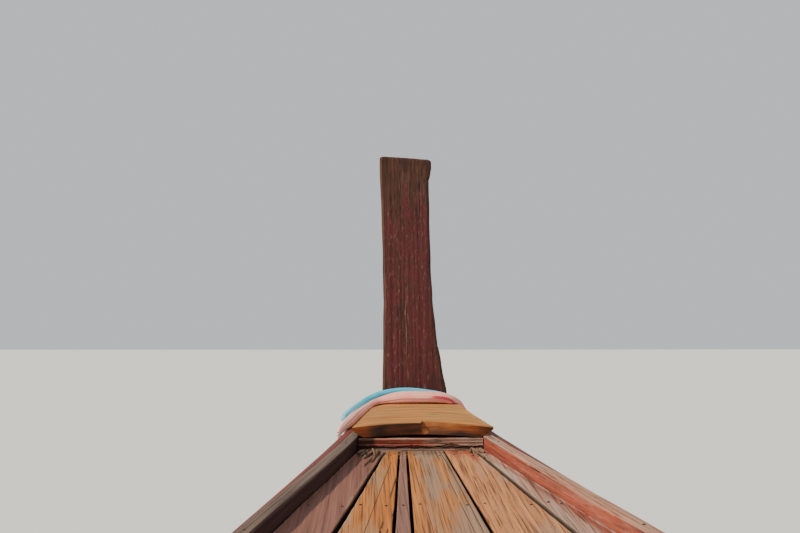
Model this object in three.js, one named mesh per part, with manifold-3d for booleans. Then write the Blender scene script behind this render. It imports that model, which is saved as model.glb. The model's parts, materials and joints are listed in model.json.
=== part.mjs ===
// A wooden longtail boat: a planked hull on sawn ribs, a tall stem post, a fan-planked foredeck,
// benches under a canopy, and a swivelling engine with a long propeller shaft over the stern.
// Millimetres. +Y is forward, +X is starboard, +Z is up, and z = 0 is the waterline afloat.
import * as THREE from "three";
import { mergeVertices } from "three/addons/utils/BufferGeometryUtils.js";
import Module from "manifold-3d";

const wasm = await Module();
wasm.setup();

// Driving dimensions of the hull.
const GAP = 0.4; // clearance between pieces that bear on each other
const PLANK = 28; // planking thickness
const SEAM = 1.2; // half of the seam between two strakes
const STERN = -4900; // aft end of the planking
const FORE = 3700; // last station where the sections stand square to the keel
const SKY = 3000; // height well above everything, for cutting solids
const RAIL_WIDE = 34;
const RAIL_DEEP = 76;
const DECK_DROP = 40; // foredeck surface below the rail's top
const DECK_THICK = 24;
const RIB_DEEP = 60;
const RIB_WIDE = 44;
const RIB_LOWER = 82; // top of a rib below the rail's top
const RIB_LOWER_FORE = 118; // the same under the foredeck
const FLOOR_TIMBER_RISE = 110; // least height of a floor timber's top above the keel
const RISER_THICK = 28;
const RISER_DEEP = 62;
const FLOOR_TOP = -96;
const FLOOR_THICK = 22;
const BENCH_TOP = 250;
const BENCH_THICK = 28;
const BENCH_WIDE = 270;
const BENCH_PLACES = [-2150, -1150, -150, 850, 1850];
const RIB_STEP = 550;
const RIB_PLACES = Array.from({ length: 15 }, (_, i) => -4450 + i * RIB_STEP);

// Rail: place along the boat, outer half-breadth, height of its top, drop of the planking's edge below it.
const RAIL = [
  { y: -4900, half: 600, top: 672, drop: 28 },
  { y: -3200, half: 775, top: 545, drop: 28 },
  { y: -1400, half: 882, top: 490, drop: 28 },
  { y: 300, half: 900, top: 520, drop: 28 },
  { y: 1500, half: 840, top: 600, drop: 28 },
  { y: 2400, half: 715, top: 695, drop: 28 },
  { y: 3000, half: 583, top: 766, drop: 28 },
  { y: 3534, half: 430, top: 833, drop: 24 },
  { y: 4240, half: 220, top: 925, drop: 8 },
  { y: 4620, half: 127, top: 978, drop: 5 },
];

// Outer lines of the planking below the sheer: half-breadth and height of each strake's lower edge.
const LINES = [
  { y: -4900, keel: [45, -50], garboard: [250, -15], bilge: [455, 95], side: [572, 330] },
  { y: -3200, keel: [45, -215], garboard: [340, -160], bilge: [610, -15], side: [745, 210] },
  { y: -1400, keel: [45, -290], garboard: [375, -230], bilge: [675, -75], side: [835, 160] },
  { y: 300, keel: [45, -300], garboard: [375, -235], bilge: [675, -75], side: [845, 175] },
  { y: 1800, keel: [45, -290], garboard: [310, -222], bilge: [568, -52], side: [735, 215] },
  { y: 3000, keel: [45, -262], garboard: [180, -170], bilge: [350, 35], side: [490, 345] },
  { y: 3700, keel: [45, -225], garboard: [112, -105], bilge: [215, 125], side: [310, 445] },
];
// Where each line ends on the stem: place, half-breadth and height.
const STEM_ENDS = {
  keel: { y: 3900, half: 45, z: -185 },
  garboard: { y: 4250, half: 55, z: 0 },
  bilge: { y: 4520, half: 62, z: 260 },
  side: { y: 4720, half: 68, z: 600 },
  sheer: { y: 4840, half: 73, z: 985 },
};
const LINE_NAMES = ["keel", "garboard", "bilge", "side", "sheer"];

// Stem post above the sheer: height, port and starboard edge of its rear face, places of its rear
// and front face, and half-width of the front.
const POST = [
  { z: 992, port: -113, stbd: 137, rear: 4616, front: 4884, half: 42 },
  { z: 1034, port: -112.5, stbd: 133.5, rear: 4621, front: 4889, half: 42 },
  { z: 1104, port: -111.8, stbd: 119, rear: 4634, front: 4896, half: 43 },
  { z: 1198, port: -110.2, stbd: 104.4, rear: 4651, front: 4905, half: 45 },
  { z: 1373, port: -108.7, stbd: 87.7, rear: 4684, front: 4920, half: 48 },
  { z: 1577, port: -112.6, stbd: 84.7, rear: 4722, front: 4936, half: 54 },
  { z: 1792, port: -118.9, stbd: 85, rear: 4761, front: 4952, half: 62 },
  { z: 1885, port: -123.5, stbd: 85.6, rear: 4778, front: 4958, half: 66 },
  { z: 1910, port: -124, stbd: 92, rear: 4783, front: 4960, half: 68 },
  { z: 1950, port: -124.4, stbd: 97, rear: 4790, front: 4962, half: 70 },
];
const POST_TOP = { port: 1992, stbd: 1978, shoulder: 12 };
const POST_BEVEL = 9; // worn bevel down the post's rear corners

const DECK_AFT = 2750;
const DECK_FRONT = 4206;
// Foredeck seams fan out from the bow: half-breadth at the reference station and change per metre aft.
const SEAM_REF = 3632;
const SEAMS = [
  { at: -231, fan: 213, gap: 7 },
  { at: -105, fan: 66.5, gap: 4 },
  { at: -64, fan: 35, gap: 4 },
  { at: 105.5, fan: -62, gap: 6 },
  { at: 278, fan: -200, gap: 3 },
];
const DECK_BOARDS = [
  { name: "deck_margin_port", colour: "deckRed" },
  { name: "deck_plank_port", colour: "deckOrange" },
  { name: "deck_strip", colour: "deckRed" },
  { name: "deck_plank_middle", colour: "deckOrange" },
  { name: "deck_plank_starboard", colour: "deckOrange" },
  { name: "deck_margin_starboard", colour: "deckPink" },
];
const BLOCK = { rear: 4213, front: 4600, thick: 37.5 };
const BOW_BEAM = { rear: 4210, front: 4262 };

const CANOPY = {
  aft: -2600, fore: 1600, bays: 4, post: 44, eave: 1880, crown: 170, overhang: 70, edge: 110, sheet: 9,
};

// Engine unit, in its own frame at the tilt pin: +Y forward, crankshaft above the pin.
const PIVOT = { y: -4620, z: 1010 };
const BEAM = { half: 75, top: 742 }; // the beam across the rails that carries the engine
const YOKE = { base: 838, thick: 28, pin: 29 };
const CRANK = 90;
const CRADLE = { x: 175, wide: 40, deep: 50, aft: -170, fore: 800 };
const TAIL_END = -4330;
const PIN_R = 16;

const COLOURS = {
  stemRed: [0x6b2a26, 0.85, 0],
  railBrown: [0x8a6a5a, 0.9, 0],
  deckRed: [0x7a4a40, 0.85, 0],
  deckOrange: [0xa8703a, 0.85, 0],
  deckPink: [0x9c5a48, 0.85, 0],
  blockWood: [0xa87a42, 0.8, 0],
  hullRed: [0x7c2f26, 0.75, 0],
  hullWood: [0x6e4426, 0.7, 0],
  innerWood: [0x7a5a3c, 0.9, 0],
  bench: [0x3f6f78, 0.7, 0],
  canopyWood: [0x8a5a34, 0.8, 0],
  sheet: [0xc9c2ae, 0.9, 0],
  blueCloth: [0x52bcd0, 0.9, 0],
  pinkCloth: [0xe8a090, 0.9, 0],
  steel: [0x6a6c6e, 0.5, 0.8],
  engineGrey: [0x55606a, 0.55, 0.5],
  rubber: [0x202020, 0.9, 0],
  rust: [0x6a4030, 0.85, 0.4],
  bronze: [0xa8803a, 0.4, 0.9],
};
const materials = Object.fromEntries(
  Object.entries(COLOURS).map(([name, [color, roughness, metalness]]) => [
    name,
    new THREE.MeshStandardMaterial({ name, color, roughness, metalness }),
  ]),
);

const boat = new THREE.Group();
boat.name = "longtail_boat";

// Solids and meshes

function solidOf(geometry) {
  const bare = geometry.index ? geometry.toNonIndexed() : geometry.clone();
  const only = new THREE.BufferGeometry().setAttribute("position", bare.getAttribute("position"));
  const merged = mergeVertices(only, 1e-3);
  const mesh = new wasm.Mesh({
    numProp: 3,
    vertProperties: merged.attributes.position.array,
    triVerts: new Uint32Array(merged.index.array),
  });
  return new wasm.Manifold(mesh);
}

function geometryOf(solid) {
  const mesh = solid.getMesh();
  const geometry = new THREE.BufferGeometry();
  geometry.setAttribute("position", new THREE.BufferAttribute(new Float32Array(mesh.vertProperties), 3));
  geometry.setIndex(new THREE.BufferAttribute(new Uint32Array(mesh.triVerts), 1));
  geometry.computeVertexNormals();
  return geometry;
}

function addSolid(group, name, solid, colour) {
  const mesh = new THREE.Mesh(geometryOf(solid), materials[colour]);
  mesh.name = name;
  group.add(mesh);
}

const join = (solids) => solids.reduce((sum, next) => sum.add(next));

// A closed solid through rings of points. Every ring has the same count, and the end rings are capped:
// a flat ring by its outline, and a bent one as a ladder between its first half and its second.
function loft(rings, cap = flatCap) {
  const count = rings[0].length;
  const corners = rings.flat();
  const faces = [];
  for (let i = 0; i + 1 < rings.length; i++) {
    for (let k = 0; k < count; k++) {
      const next = (k + 1) % count;
      const [a, b] = [i * count + k, (i + 1) * count + k];
      const [c, d] = [(i + 1) * count + next, i * count + next];
      faces.push([a, b, c], [a, c, d]);
    }
  }
  const last = (rings.length - 1) * count;
  for (const face of cap(rings[0])) faces.push(face);
  for (const [a, b, c] of cap(rings[rings.length - 1])) faces.push([last + a, last + c, last + b]);
  const volume = faces.reduce((sum, [a, b, c]) => {
    return sum + corners[a].dot(new THREE.Vector3().crossVectors(corners[b], corners[c]));
  }, 0);
  const ordered = volume < 0 ? faces.map(([a, b, c]) => [a, c, b]) : faces;
  const geometry = new THREE.BufferGeometry().setFromPoints(corners);
  geometry.setIndex(ordered.flat());
  return solidOf(geometry);
}

function ladderCap(ring) {
  const steps = Array.from({ length: ring.length / 2 - 1 }, (_, k) => k);
  const last = ring.length - 1;
  return steps.flatMap((k) => [[k, k + 1, last - k - 1], [k, last - k - 1, last - k]]);
}

// Triangles that close a ring, running round it in the ring's own order.
function flatCap(ring) {
  const normal = new THREE.Vector3();
  ring.forEach((p, i) => normal.add(new THREE.Vector3().crossVectors(p, ring[(i + 1) % ring.length])));
  const size = normal.toArray().map(Math.abs);
  const drop = size.indexOf(Math.max(...size));
  const flat = ring.map((p) => new THREE.Vector2(...p.toArray().filter((_, axis) => axis !== drop)));
  const faces = THREE.ShapeUtils.triangulateShape(flat, []);
  const facing = faces.reduce((sum, [a, b, c]) => {
    const [ab, ac] = [ring[b].clone().sub(ring[a]), ring[c].clone().sub(ring[a])];
    return sum + ab.cross(ac).dot(normal);
  }, 0);
  return facing < 0 ? faces.map(([a, b, c]) => [a, c, b]) : faces;
}

const point = (x, y, z) => new THREE.Vector3(x, y, z);
const square = (x0, x1, y, z0, z1) => {
  return [point(x0, y, z1), point(x1, y, z1), point(x1, y, z0), point(x0, y, z0)];
};
const level = (half, y0, y1, z) => {
  return [point(-half, y0, z), point(half, y0, z), point(half, y1, z), point(-half, y1, z)];
};

function block(x0, x1, y0, y1, z0, z1) {
  const shape = new THREE.BoxGeometry(x1 - x0, y1 - y0, z1 - z0);
  return solidOf(shape.translate((x0 + x1) / 2, (y0 + y1) / 2, (z0 + z1) / 2));
}

// A round bar between two points, with a second radius where it tapers.
function bar(from, to, radius, sides = 16, endRadius = radius) {
  const along = to.clone().sub(from);
  const shape = new THREE.CylinderGeometry(endRadius, radius, along.length(), sides);
  shape.applyQuaternion(new THREE.Quaternion().setFromUnitVectors(point(0, 1, 0), along.clone().normalize()));
  const middle = from.clone().add(to).divideScalar(2);
  return solidOf(shape.translate(middle.x, middle.y, middle.z));
}

// A flat outline in the y-z plane, given thickness across the boat.
function plateAcross(outline, x0, x1) {
  return loft([outline.map(([y, z]) => point(x0, y, z)), outline.map(([y, z]) => point(x1, y, z))]);
}

function mirrored(solid) {
  const geometry = geometryOf(solid).scale(-1, 1, 1);
  const index = geometry.index.array;
  for (let i = 0; i < index.length; i += 3) [index[i + 1], index[i + 2]] = [index[i + 2], index[i + 1]];
  return solidOf(geometry);
}

// Hull lines

// Smooth values through a table's rows, as a function of y.
function smooth(rows, columns) {
  const values = rows.flatMap((row) => columns.map((column) => column(row)));
  const curve = new THREE.CubicInterpolant(rows.map((row) => row.y), values, columns.length);
  const [low, high] = [rows[0].y, rows[rows.length - 1].y];
  return (y) => Array.from(curve.evaluate(Math.min(high, Math.max(low, y))));
}

const rail = smooth(RAIL, [(r) => r.half, (r) => r.top, (r) => r.drop]);
const railHalf = (y) => rail(y)[0];
const railTop = (y) => rail(y)[1];
const sheerRows = RAIL.map((row) => ({ y: row.y, half: row.half + PLANK + 2, z: row.top - row.drop }));
const lineCurves = LINE_NAMES.map((name) => {
  const lower = () => LINES.map((row) => ({ y: row.y, half: row[name][0], z: row[name][1] }));
  const rows = name === "sheer" ? sheerRows : lower();
  return smooth([...rows, STEM_ENDS[name]], [(r) => r.half, (r) => r.z]);
});

// The outer corner of a line at a station. A station stands square to the keel at its y, or it has a
// lean, the share of the way from the last square one to the stem.
function corner(line, station) {
  const end = STEM_ENDS[LINE_NAMES[line]].y;
  const y = station.lean ? FORE + station.lean * (end - FORE) : station.y;
  const [half, z] = lineCurves[line](y);
  return point(half, y, z);
}

// One station's corners on the starboard side, moved inwards by an offset square to the planking.
function section(station, offset) {
  const outer = LINE_NAMES.map((_, line) => corner(line, station));
  const normals = outer.slice(1).map((p, i) => {
    const step = new THREE.Vector2(p.x - outer[i].x, p.z - outer[i].z).normalize();
    return new THREE.Vector2(-step.y, step.x);
  });
  return outer.map((p, i) => {
    const below = normals[Math.max(0, i - 1)];
    const above = normals[Math.min(normals.length - 1, i)];
    const scale = offset / (1 + below.dot(above));
    return point(p.x + (below.x + above.x) * scale, p.y, p.z + (below.y + above.y) * scale);
  });
}

const squareStations = [
  -4900, -4500, -4000, -3500, -3000, -2500, -2000, -1500, -1000, -500, 0,
  500, 1000, 1500, 1900, 2250, 2600, 2900, 3150, 3400, 3700,
].map((y) => ({ y }));
const leaningStations = [0.16, 0.32, 0.48, 0.64, 0.8, 0.9, 1].map((lean) => ({ lean }));
const stations = [...squareStations, ...leaningStations];

// The hull as one full solid up to the sky, its sides moved inwards by an offset.
// Its faces between stations fold the same way as the planking's inner faces, or as the outer ones.
function hullSolid(offset, folds) {
  const rings = stations.map((station) => {
    const side = section(station, offset);
    const high = side[side.length - 1];
    const right = [...side, point(high.x, high.y, SKY)];
    const ring = [...right, ...[...right].reverse().map((p) => point(-1, p.y, p.z))];
    return folds === "outer" ? ring.reverse() : ring;
  });
  const half = loft(rings, ladderCap);
  return half.add(mirrored(half));
}

// Everything inside the planking, less a further inset.
const interior = (inset) => hullSolid(PLANK + GAP + inset, "inner");

const inside = interior(0);
const insideRibs = interior(RIB_DEEP + GAP);
const fitted = (solid) => solid.intersect(inside);

const bothRails = (margin, above) => railSpace(margin, above).add(mirrored(railSpace(margin, above)));
const railClearance = bothRails(1, 30); // for timbers that end against the rails
const railSeat = bothRails(GAP, GAP); // for timbers that lie on the rails
const starboardHalf = block(0, 2000, -6000, 6000, -SKY, SKY);
const portHalf = block(-2000, 0, -6000, 6000, -SKY, SKY);

// Hull

function strake(line) {
  const rings = stations.map((station) => {
    const outer = section(station, 0);
    const inner = section(station, PLANK);
    const edge = (points, at, towards) => {
      const step = points[towards].clone().sub(points[at]).setLength(SEAM);
      return points[at].clone().add(step);
    };
    return [
      edge(inner, line, line + 1), edge(inner, line + 1, line),
      edge(outer, line + 1, line), edge(outer, line, line + 1),
    ];
  });
  return loft(rings);
}

// The two lower strakes are in two lengths with a butt joint, and the joints are staggered.
function addPlanking() {
  const rows = [
    { name: "garboard", colour: "hullWood", joint: -350 },
    { name: "bilge_strake", colour: "hullWood", joint: 900 },
    { name: "side_strake", colour: "hullWood" },
    { name: "sheer_strake", colour: "hullRed" },
  ];
  rows.forEach(({ name, colour, joint }, line) => {
    const whole = strake(line);
    const lengths = joint === undefined ? [[name, whole]] : [
      [`${name}_aft`, whole.intersect(block(-2000, 2000, -6000, joint - GAP / 2, -SKY, SKY))],
      [`${name}_fore`, whole.intersect(block(-2000, 2000, joint + GAP / 2, 6000, -SKY, SKY))],
    ];
    for (const [label, plank] of lengths) {
      addSolid(boat, `${label}_starboard`, plank, colour);
      addSolid(boat, `${label}_port`, mirrored(plank), colour);
    }
  });
}

const KEEL_DEEP = 62;
const KEEL_HALF = 45;

function addKeel() {
  const rings = squareStations.map((station) => {
    const [outer, inner] = [section(station, 0)[0], section(station, PLANK)[0]];
    const right = [
      point(KEEL_HALF, outer.y, outer.z - KEEL_DEEP),
      point(KEEL_HALF, outer.y, outer.z - 1),
      point(KEEL_HALF - 3, outer.y, outer.z - 1),
      point(inner.x - 3, outer.y, inner.z),
    ];
    return [...right, ...[...right].reverse().map((p) => point(-p.x, p.y, p.z))];
  });
  addSolid(boat, "keel", loft(rings), "hullWood");
}

// The cutwater follows the ends of the planking, and the post stands above it.
function stemOutside(margin) {
  const path = [
    corner(0, { y: FORE + 2 }),
    corner(0, { lean: 0.5 }),
    ...LINE_NAMES.map((_, line) => corner(line, { lean: 1 })),
  ].map((p) => new THREE.Vector2(p.y, p.z));
  path.push(new THREE.Vector2(4846, 1004));
  const widths = [
    { land: 45, nose: 45, deep: 62 },
    { land: 48, nose: 44, deep: 60 },
    { land: 52, nose: 42, deep: 56 },
    { land: 56, nose: 38, deep: 50 },
    { land: 60, nose: 36, deep: 46 },
    { land: 64, nose: 36, deep: 44 },
    { land: 66, nose: 38, deep: 42 },
    { land: 60, nose: 40, deep: 42 },
  ];
  const cutwater = loft(path.map((at, i) => {
    const before = path[Math.max(0, i - 1)];
    const after = path[Math.min(path.length - 1, i + 1)];
    const along = i === 0 ? new THREE.Vector2(1, 0) : after.clone().sub(before).normalize();
    const out = new THREE.Vector2(along.y, -along.x);
    const place = (half, depth) => point(half, at.x + out.x * depth, at.y + out.y * depth);
    const { land, nose, deep } = widths[i];
    const right = [
      place(nose + margin, deep + margin), place(land + margin, 0.8), place(14, 0.8), place(14, -60),
    ];
    return [...right, ...[...right].reverse().map((p) => point(-p.x, p.y, p.z))];
  }));
  const rings = POST.map((row) => postRing({ ...row, zPort: row.z, zStbd: row.z }, margin));
  const top = POST[POST.length - 1];
  const { port, stbd, shoulder } = POST_TOP;
  rings.push(postRing({
    port: top.port + 1, stbd: top.stbd - 1, rear: top.rear + 5, front: top.front, half: top.half,
    zPort: port - shoulder, zStbd: stbd - shoulder,
  }, margin));
  rings.push(postRing({
    port: top.port + shoulder, stbd: top.stbd - shoulder, rear: top.rear + 12, front: top.front - 6,
    half: top.half - 8, zPort: port, zStbd: stbd,
  }, margin));
  return cutwater.add(loft(rings));
}

// The apron behind the cutwater fills the bow and carries the post.
function addStem() {
  const apronSide = [
    [FORE + 2, -170], [4010, 20], [4270, 290], [4470, 620], [4616, 996], [4900, 996], [4850, 985],
    [4730, 600], [4530, 260], [4260, 0], [3910, -185], [FORE + 2, -215],
  ];
  const apron = fitted(plateAcross(apronSide, -160, 160)).subtract(railClearance);
  addSolid(boat, "stem_post", apron.add(stemOutside(0)), "stemRed");
}

function postRing({ port, stbd, rear, front, half, zPort, zStbd }, margin) {
  const [left, right, back] = [port - margin, stbd + margin, rear - margin];
  return [
    point(left, back + POST_BEVEL, zPort), point(left + POST_BEVEL, back, zPort),
    point(right - POST_BEVEL, back, zStbd), point(right, back + POST_BEVEL, zStbd),
    point(half + margin, front + margin, zStbd), point(-half - margin, front + margin, zPort),
  ];
}

function addTransom() {
  const [half, top] = rail(STERN);
  const camber = 46;
  const steps = [-1, -0.6, -0.2, 0.2, 0.6, 1];
  const crest = steps.map((s) => [s * (half - RAIL_WIDE - 2), top - 6 + camber * (1 - s * s)]);
  const outline = [[-half, -300], ...crest, [half, -300]];
  const board = loft([STERN, STERN + 40].map((y) => outline.map(([x, z]) => point(x, y, z))));
  addSolid(boat, "transom", fitted(board).subtract(railClearance), "hullRed");
}

// The starboard rail's own space, or that space with a margin round it and more or less above it.
function railSpace(margin, above) {
  const places = [...squareStations.map((s) => s.y), 3830, 3960, 4100, 4240, 4370, 4500, 4610 + margin];
  return loft(places.map((y) => {
    const [half, top] = rail(y);
    const [outer, inner] = [half + margin, half - RAIL_WIDE - margin];
    const [high, low] = [top + above, top - RAIL_DEEP - margin];
    return square(inner, outer, y, low, high);
  }));
}

function addRails() {
  const starboard = fitted(railSpace(0, 0));
  addSolid(boat, "rail_starboard", starboard, "railBrown");
  addSolid(boat, "rail_port", mirrored(starboard), "railBrown");
}

// The rubbing strake lies on the outside of the sheer strake, a little below its edge.
function addRubbingStrakes() {
  const LOW = 0.72; // share of the sheer strake's width
  const HIGH = 0.9;
  const THICK = 26;
  const places = stations.filter((s) => !s.lean || s.lean < 0.4);
  const rings = places.map((station, i) => {
    const points = section(station, 10);
    const outer = section(station, -GAP - THICK * (i === places.length - 1 ? 0.4 : 1));
    const at = (list, share) => list[3].clone().lerp(list[4], share);
    return [at(points, LOW), at(points, HIGH), at(outer, HIGH - 0.02), at(outer, LOW + 0.02)];
  });
  const starboard = loft(rings).subtract(hullSolid(-GAP, "outer"));
  addSolid(boat, "rubbing_strake_starboard", starboard, "hullRed");
  addSolid(boat, "rubbing_strake_port", mirrored(starboard), "hullRed");
}

// Sawn frames at every rib place: floor timbers on one keelson across the bottom, and above them
// the timbers of each side, which a riser joins and which the benches lie on.
function addFrames() {
  const [aft, fore] = [RIB_PLACES[0] - 60, RIB_PLACES[RIB_PLACES.length - 1] + 60];
  const under = FLOOR_TOP - FLOOR_THICK - GAP;
  const split = (y) => Math.max(under, lineCurves[0](y)[1] + FLOOR_TIMBER_RISE);
  const slabs = (low, high) => join(RIB_PLACES.map((y) => {
    return block(-1200, 1200, y - RIB_WIDE / 2, y + RIB_WIDE / 2, low(y), high(y));
  }));
  const shell = inside.subtract(interior(RIB_DEEP));
  const keelson = fitted(block(-50, 50, aft, fore, -500, under));
  const ends = block(-50, 50, aft, fore, -500, 300).intersect(shell);
  const floors = slabs(() => -600, split).intersect(shell);
  addSolid(boat, "keelson_and_floors", join([floors, keelson, ends]), "innerWood");

  const head = (y) => railTop(y) - (y > DECK_AFT ? RIB_LOWER_FORE : RIB_LOWER);
  const ribs = slabs((y) => split(y) + GAP, head).intersect(shell);
  const high = BENCH_TOP - BENCH_THICK - GAP;
  const riser = block(-1200, 1200, aft, fore, high - RISER_DEEP, high)
    .intersect(interior(RIB_DEEP - 1).subtract(interior(RIB_DEEP + RISER_THICK)));
  const sides = ribs.add(riser);
  addSolid(boat, "side_frames_starboard", sides.intersect(starboardHalf), "innerWood");
  addSolid(boat, "side_frames_port", sides.intersect(portHalf), "innerWood");
}

function addBenches() {
  BENCH_PLACES.forEach((y, i) => {
    const [aft, fore] = [y - BENCH_WIDE / 2, y + BENCH_WIDE / 2];
    const plank = block(-1200, 1200, aft, fore, BENCH_TOP - BENCH_THICK, BENCH_TOP);
    addSolid(boat, `bench_${i + 1}`, plank.intersect(insideRibs), "bench");
  });
}

// Two floor panels lie on the keelson and the ribs, each of three boards on short cleats.
function addFloor() {
  const low = FLOOR_TOP - FLOOR_THICK;
  const boards = [[4, 144], [150, 290], [296, 440]].map(([x0, x1]) => {
    return block(x0, x1, -4200, 2640, low, FLOOR_TOP);
  });
  const cleats = [-3650, -2200, -900, 600, 2000].map((y) => {
    return block(70, 400, y - 25, y + 25, low - 18, low + 1);
  });
  const starboard = join([...boards, ...cleats]).intersect(insideRibs);
  addSolid(boat, "floor_panel_starboard", starboard, "innerWood");
  addSolid(boat, "floor_panel_port", mirrored(starboard), "innerWood");
}

// Foredeck

const deckTop = (y) => railTop(y) - DECK_DROP;
const seamAt = (seam, y) => seam.at + (seam.fan * (y - SEAM_REF)) / 1000;

function addForedeck() {
  const edges = [
    { left: (y) => -railHalf(y), right: (y) => -(railHalf(y) - RAIL_WIDE - 1) },
    ...SEAMS.map((seam) => ({
      left: (y) => seamAt(seam, y) - seam.gap / 2,
      right: (y) => seamAt(seam, y) + seam.gap / 2,
    })),
    { left: (y) => railHalf(y) - RAIL_WIDE - 1 },
  ];
  const places = [DECK_AFT, 2950, 3150, 3350, 3534, 3700, 3870, 4040, DECK_FRONT];
  DECK_BOARDS.forEach(({ name, colour }, i) => {
    const rings = places.map((y) => {
      const [left, right] = [edges[i].right(y), edges[i + 1].left(y)];
      const [top, low] = [deckTop(y), deckTop(y) - DECK_THICK];
      return square(left, right, y, low, top);
    });
    addSolid(boat, name, fitted(loft(rings)).subtract(railClearance), colour);
  });
}

// Beams under the foredeck, joined by a carlin along the middle.
function addDeckBeams() {
  const beams = [DECK_AFT + 30, 3400, 4040].map((y) => {
    const top = deckTop(y - 30) - DECK_THICK - GAP;
    return block(-700, 700, y - 30, y + 30, top - 70, top);
  });
  const [aft, fore] = [DECK_AFT + 40, 4060];
  const rings = [aft, 3100, 3400, 3700, fore].map((y) => {
    const top = deckTop(y) - DECK_THICK - GAP - 3;
    return square(-30, 30, y, top - 50, top);
  });
  addSolid(boat, "deck_beams", fitted(join([...beams, loft(rings)])).subtract(railClearance), "innerWood");
}

// The weathered beam that the deck planks butt against, and the thick board on top of the bow.
function addBow() {
  const { rear, front } = BOW_BEAM;
  const half = (y) => railHalf(y) - RAIL_WIDE - 2;
  const beam = loft([rear, front].map((y) => {
    const [low, high] = [deckTop(y) - DECK_THICK, railTop(y) - 2.6];
    return square(-half(y), half(y), y, low, high);
  }));
  addSolid(boat, "bow_beam", fitted(beam).subtract(railClearance), "deckPink");
  const notch = loft([900, 1000].map((z) => {
    return [[2, -5], [14, 14], [120, 2], [120, -5]].map(([x, step]) => point(x, BLOCK.rear + step, z));
  }));
  addSolid(boat, "bow_board", bowBoard(0).subtract(notch).subtract(railSeat), "blockWood");
}

function bowBoard(margin) {
  const places = [BLOCK.rear - margin, 4300, 4400, 4500, BLOCK.front];
  return loft(places.map((y) => {
    const [wide, low] = [railHalf(y) - 1 + margin, railTop(y) - 2];
    return square(-wide, wide, y, low, low + 2 + BLOCK.thick + margin);
  }));
}

// Two sashes wound round the bow: over the bow board behind the post, and down round the stem outside.
// Rows with a side lie against the planking there; the others give their own place across the boat.
const SASHES = [
  {
    name: "sash_pink", colour: "pinkCloth", wide: 34, thick: 15,
    path: [
      { x: 20, y: 4866, z: 838 }, { side: 1, y: 4815, z: 848 }, { side: 1, y: 4730, z: 872 },
      { side: 1, y: 4640, z: 902 }, { side: 1, y: 4565, z: 935 }, { side: 1, y: 4508, z: 966 },
      { x: 184, y: 4490, z: 1002 }, { x: 120, y: 4496, z: 1014 }, { x: 0, y: 4500, z: 1014 },
      { x: -120, y: 4480, z: 1012 }, { x: -186, y: 4400, z: 1000 }, { x: -226, y: 4310, z: 986 },
      { x: -262, y: 4236, z: 962 }, { side: -1, y: 4215, z: 915 }, { side: -1, y: 4300, z: 882 },
      { side: -1, y: 4450, z: 862 }, { side: -1, y: 4600, z: 848 }, { side: -1, y: 4730, z: 840 },
      { side: -1, y: 4815, z: 836 }, { x: -20, y: 4866, z: 836 },
    ],
  },
  {
    name: "sash_blue", colour: "blueCloth", wide: 22, thick: 12,
    path: [
      { x: 20, y: 4884, z: 884 }, { side: 1, y: 4830, z: 890 }, { side: 1, y: 4740, z: 912 },
      { side: 1, y: 4660, z: 942 }, { side: 1, y: 4612, z: 968 }, { x: 168, y: 4586, z: 1004 },
      { x: 116, y: 4580, z: 1026 }, { x: 0, y: 4574, z: 1028 }, { x: -116, y: 4560, z: 1028 },
      { x: -166, y: 4480, z: 1018 }, { x: -204, y: 4390, z: 1004 }, { x: -236, y: 4312, z: 986 },
      { side: -1, y: 4290, z: 945 }, { side: -1, y: 4345, z: 922 }, { side: -1, y: 4500, z: 900 },
      { side: -1, y: 4640, z: 890 }, { side: -1, y: 4750, z: 884 }, { x: -20, y: 4884, z: 882 },
    ],
  },
];

// Half-breadth of the planking's outer face near the bow.
function skinHalf(y, z) {
  const [sideHalf, sideZ] = lineCurves[3](y);
  const [sheerHalf, sheerZ] = lineCurves[4](y);
  return sideHalf + ((z - sideZ) / (sheerZ - sideZ)) * (sheerHalf - sideHalf);
}

function addSashes() {
  const sheerSide = [[3600, 0], [3600, 850], [4240, 930], [4620, 984], [4900, 1010], [4900, 0]];
  const hull = hullSolid(-GAP, "outer").intersect(plateAcross(sheerSide, -600, 600));
  const bow = join([hull, bothRails(GAP, GAP), bowBoard(GAP), stemOutside(GAP)]);
  SASHES.forEach((sash, i) => {
    const under = SASHES.slice(0, i).map((other) => wrap(other, 0.6));
    addSolid(boat, sash.name, wrap(sash, 0).subtract(join([bow, ...under])), sash.colour);
  });
}

// A flat band of cloth along a path, wide across its lie and thin towards the boat's middle.
function wrap({ path, wide, thick }, margin) {
  const places = path.map(({ x, side, y, z }) => point(x ?? side * (skinHalf(y, z) + thick - 4), y, z));
  const line = new THREE.CatmullRomCurve3(places, false, "centripetal");
  const steps = 44;
  const rings = [];
  for (let i = 0; i <= steps; i++) {
    const [at, along] = [line.getPointAt(i / steps), line.getTangentAt(i / steps)];
    const out = point(at.x, (at.y - 4600) * 0.4, (at.z - 880) * 1.2);
    out.addScaledVector(along, -out.dot(along)).normalize();
    const side = new THREE.Vector3().crossVectors(along, out);
    rings.push([0, 1, 2, 3, 4, 5, 6, 7].map((k) => {
      const turn = ((k + 0.5) * Math.PI) / 4;
      const [across, off] = [Math.cos(turn) * (wide + margin), Math.sin(turn) * (thick + margin)];
      return at.clone().addScaledVector(side, across).addScaledVector(out, off);
    }));
  }
  return loft(rings);
}

// Canopy

const canopyHalf = (y) => railHalf(y) - RAIL_WIDE / 2;
const canopyPlaces = Array.from({ length: CANOPY.bays + 1 }, (_, i) => {
  return CANOPY.aft + (i * (CANOPY.fore - CANOPY.aft)) / CANOPY.bays;
});

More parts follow.
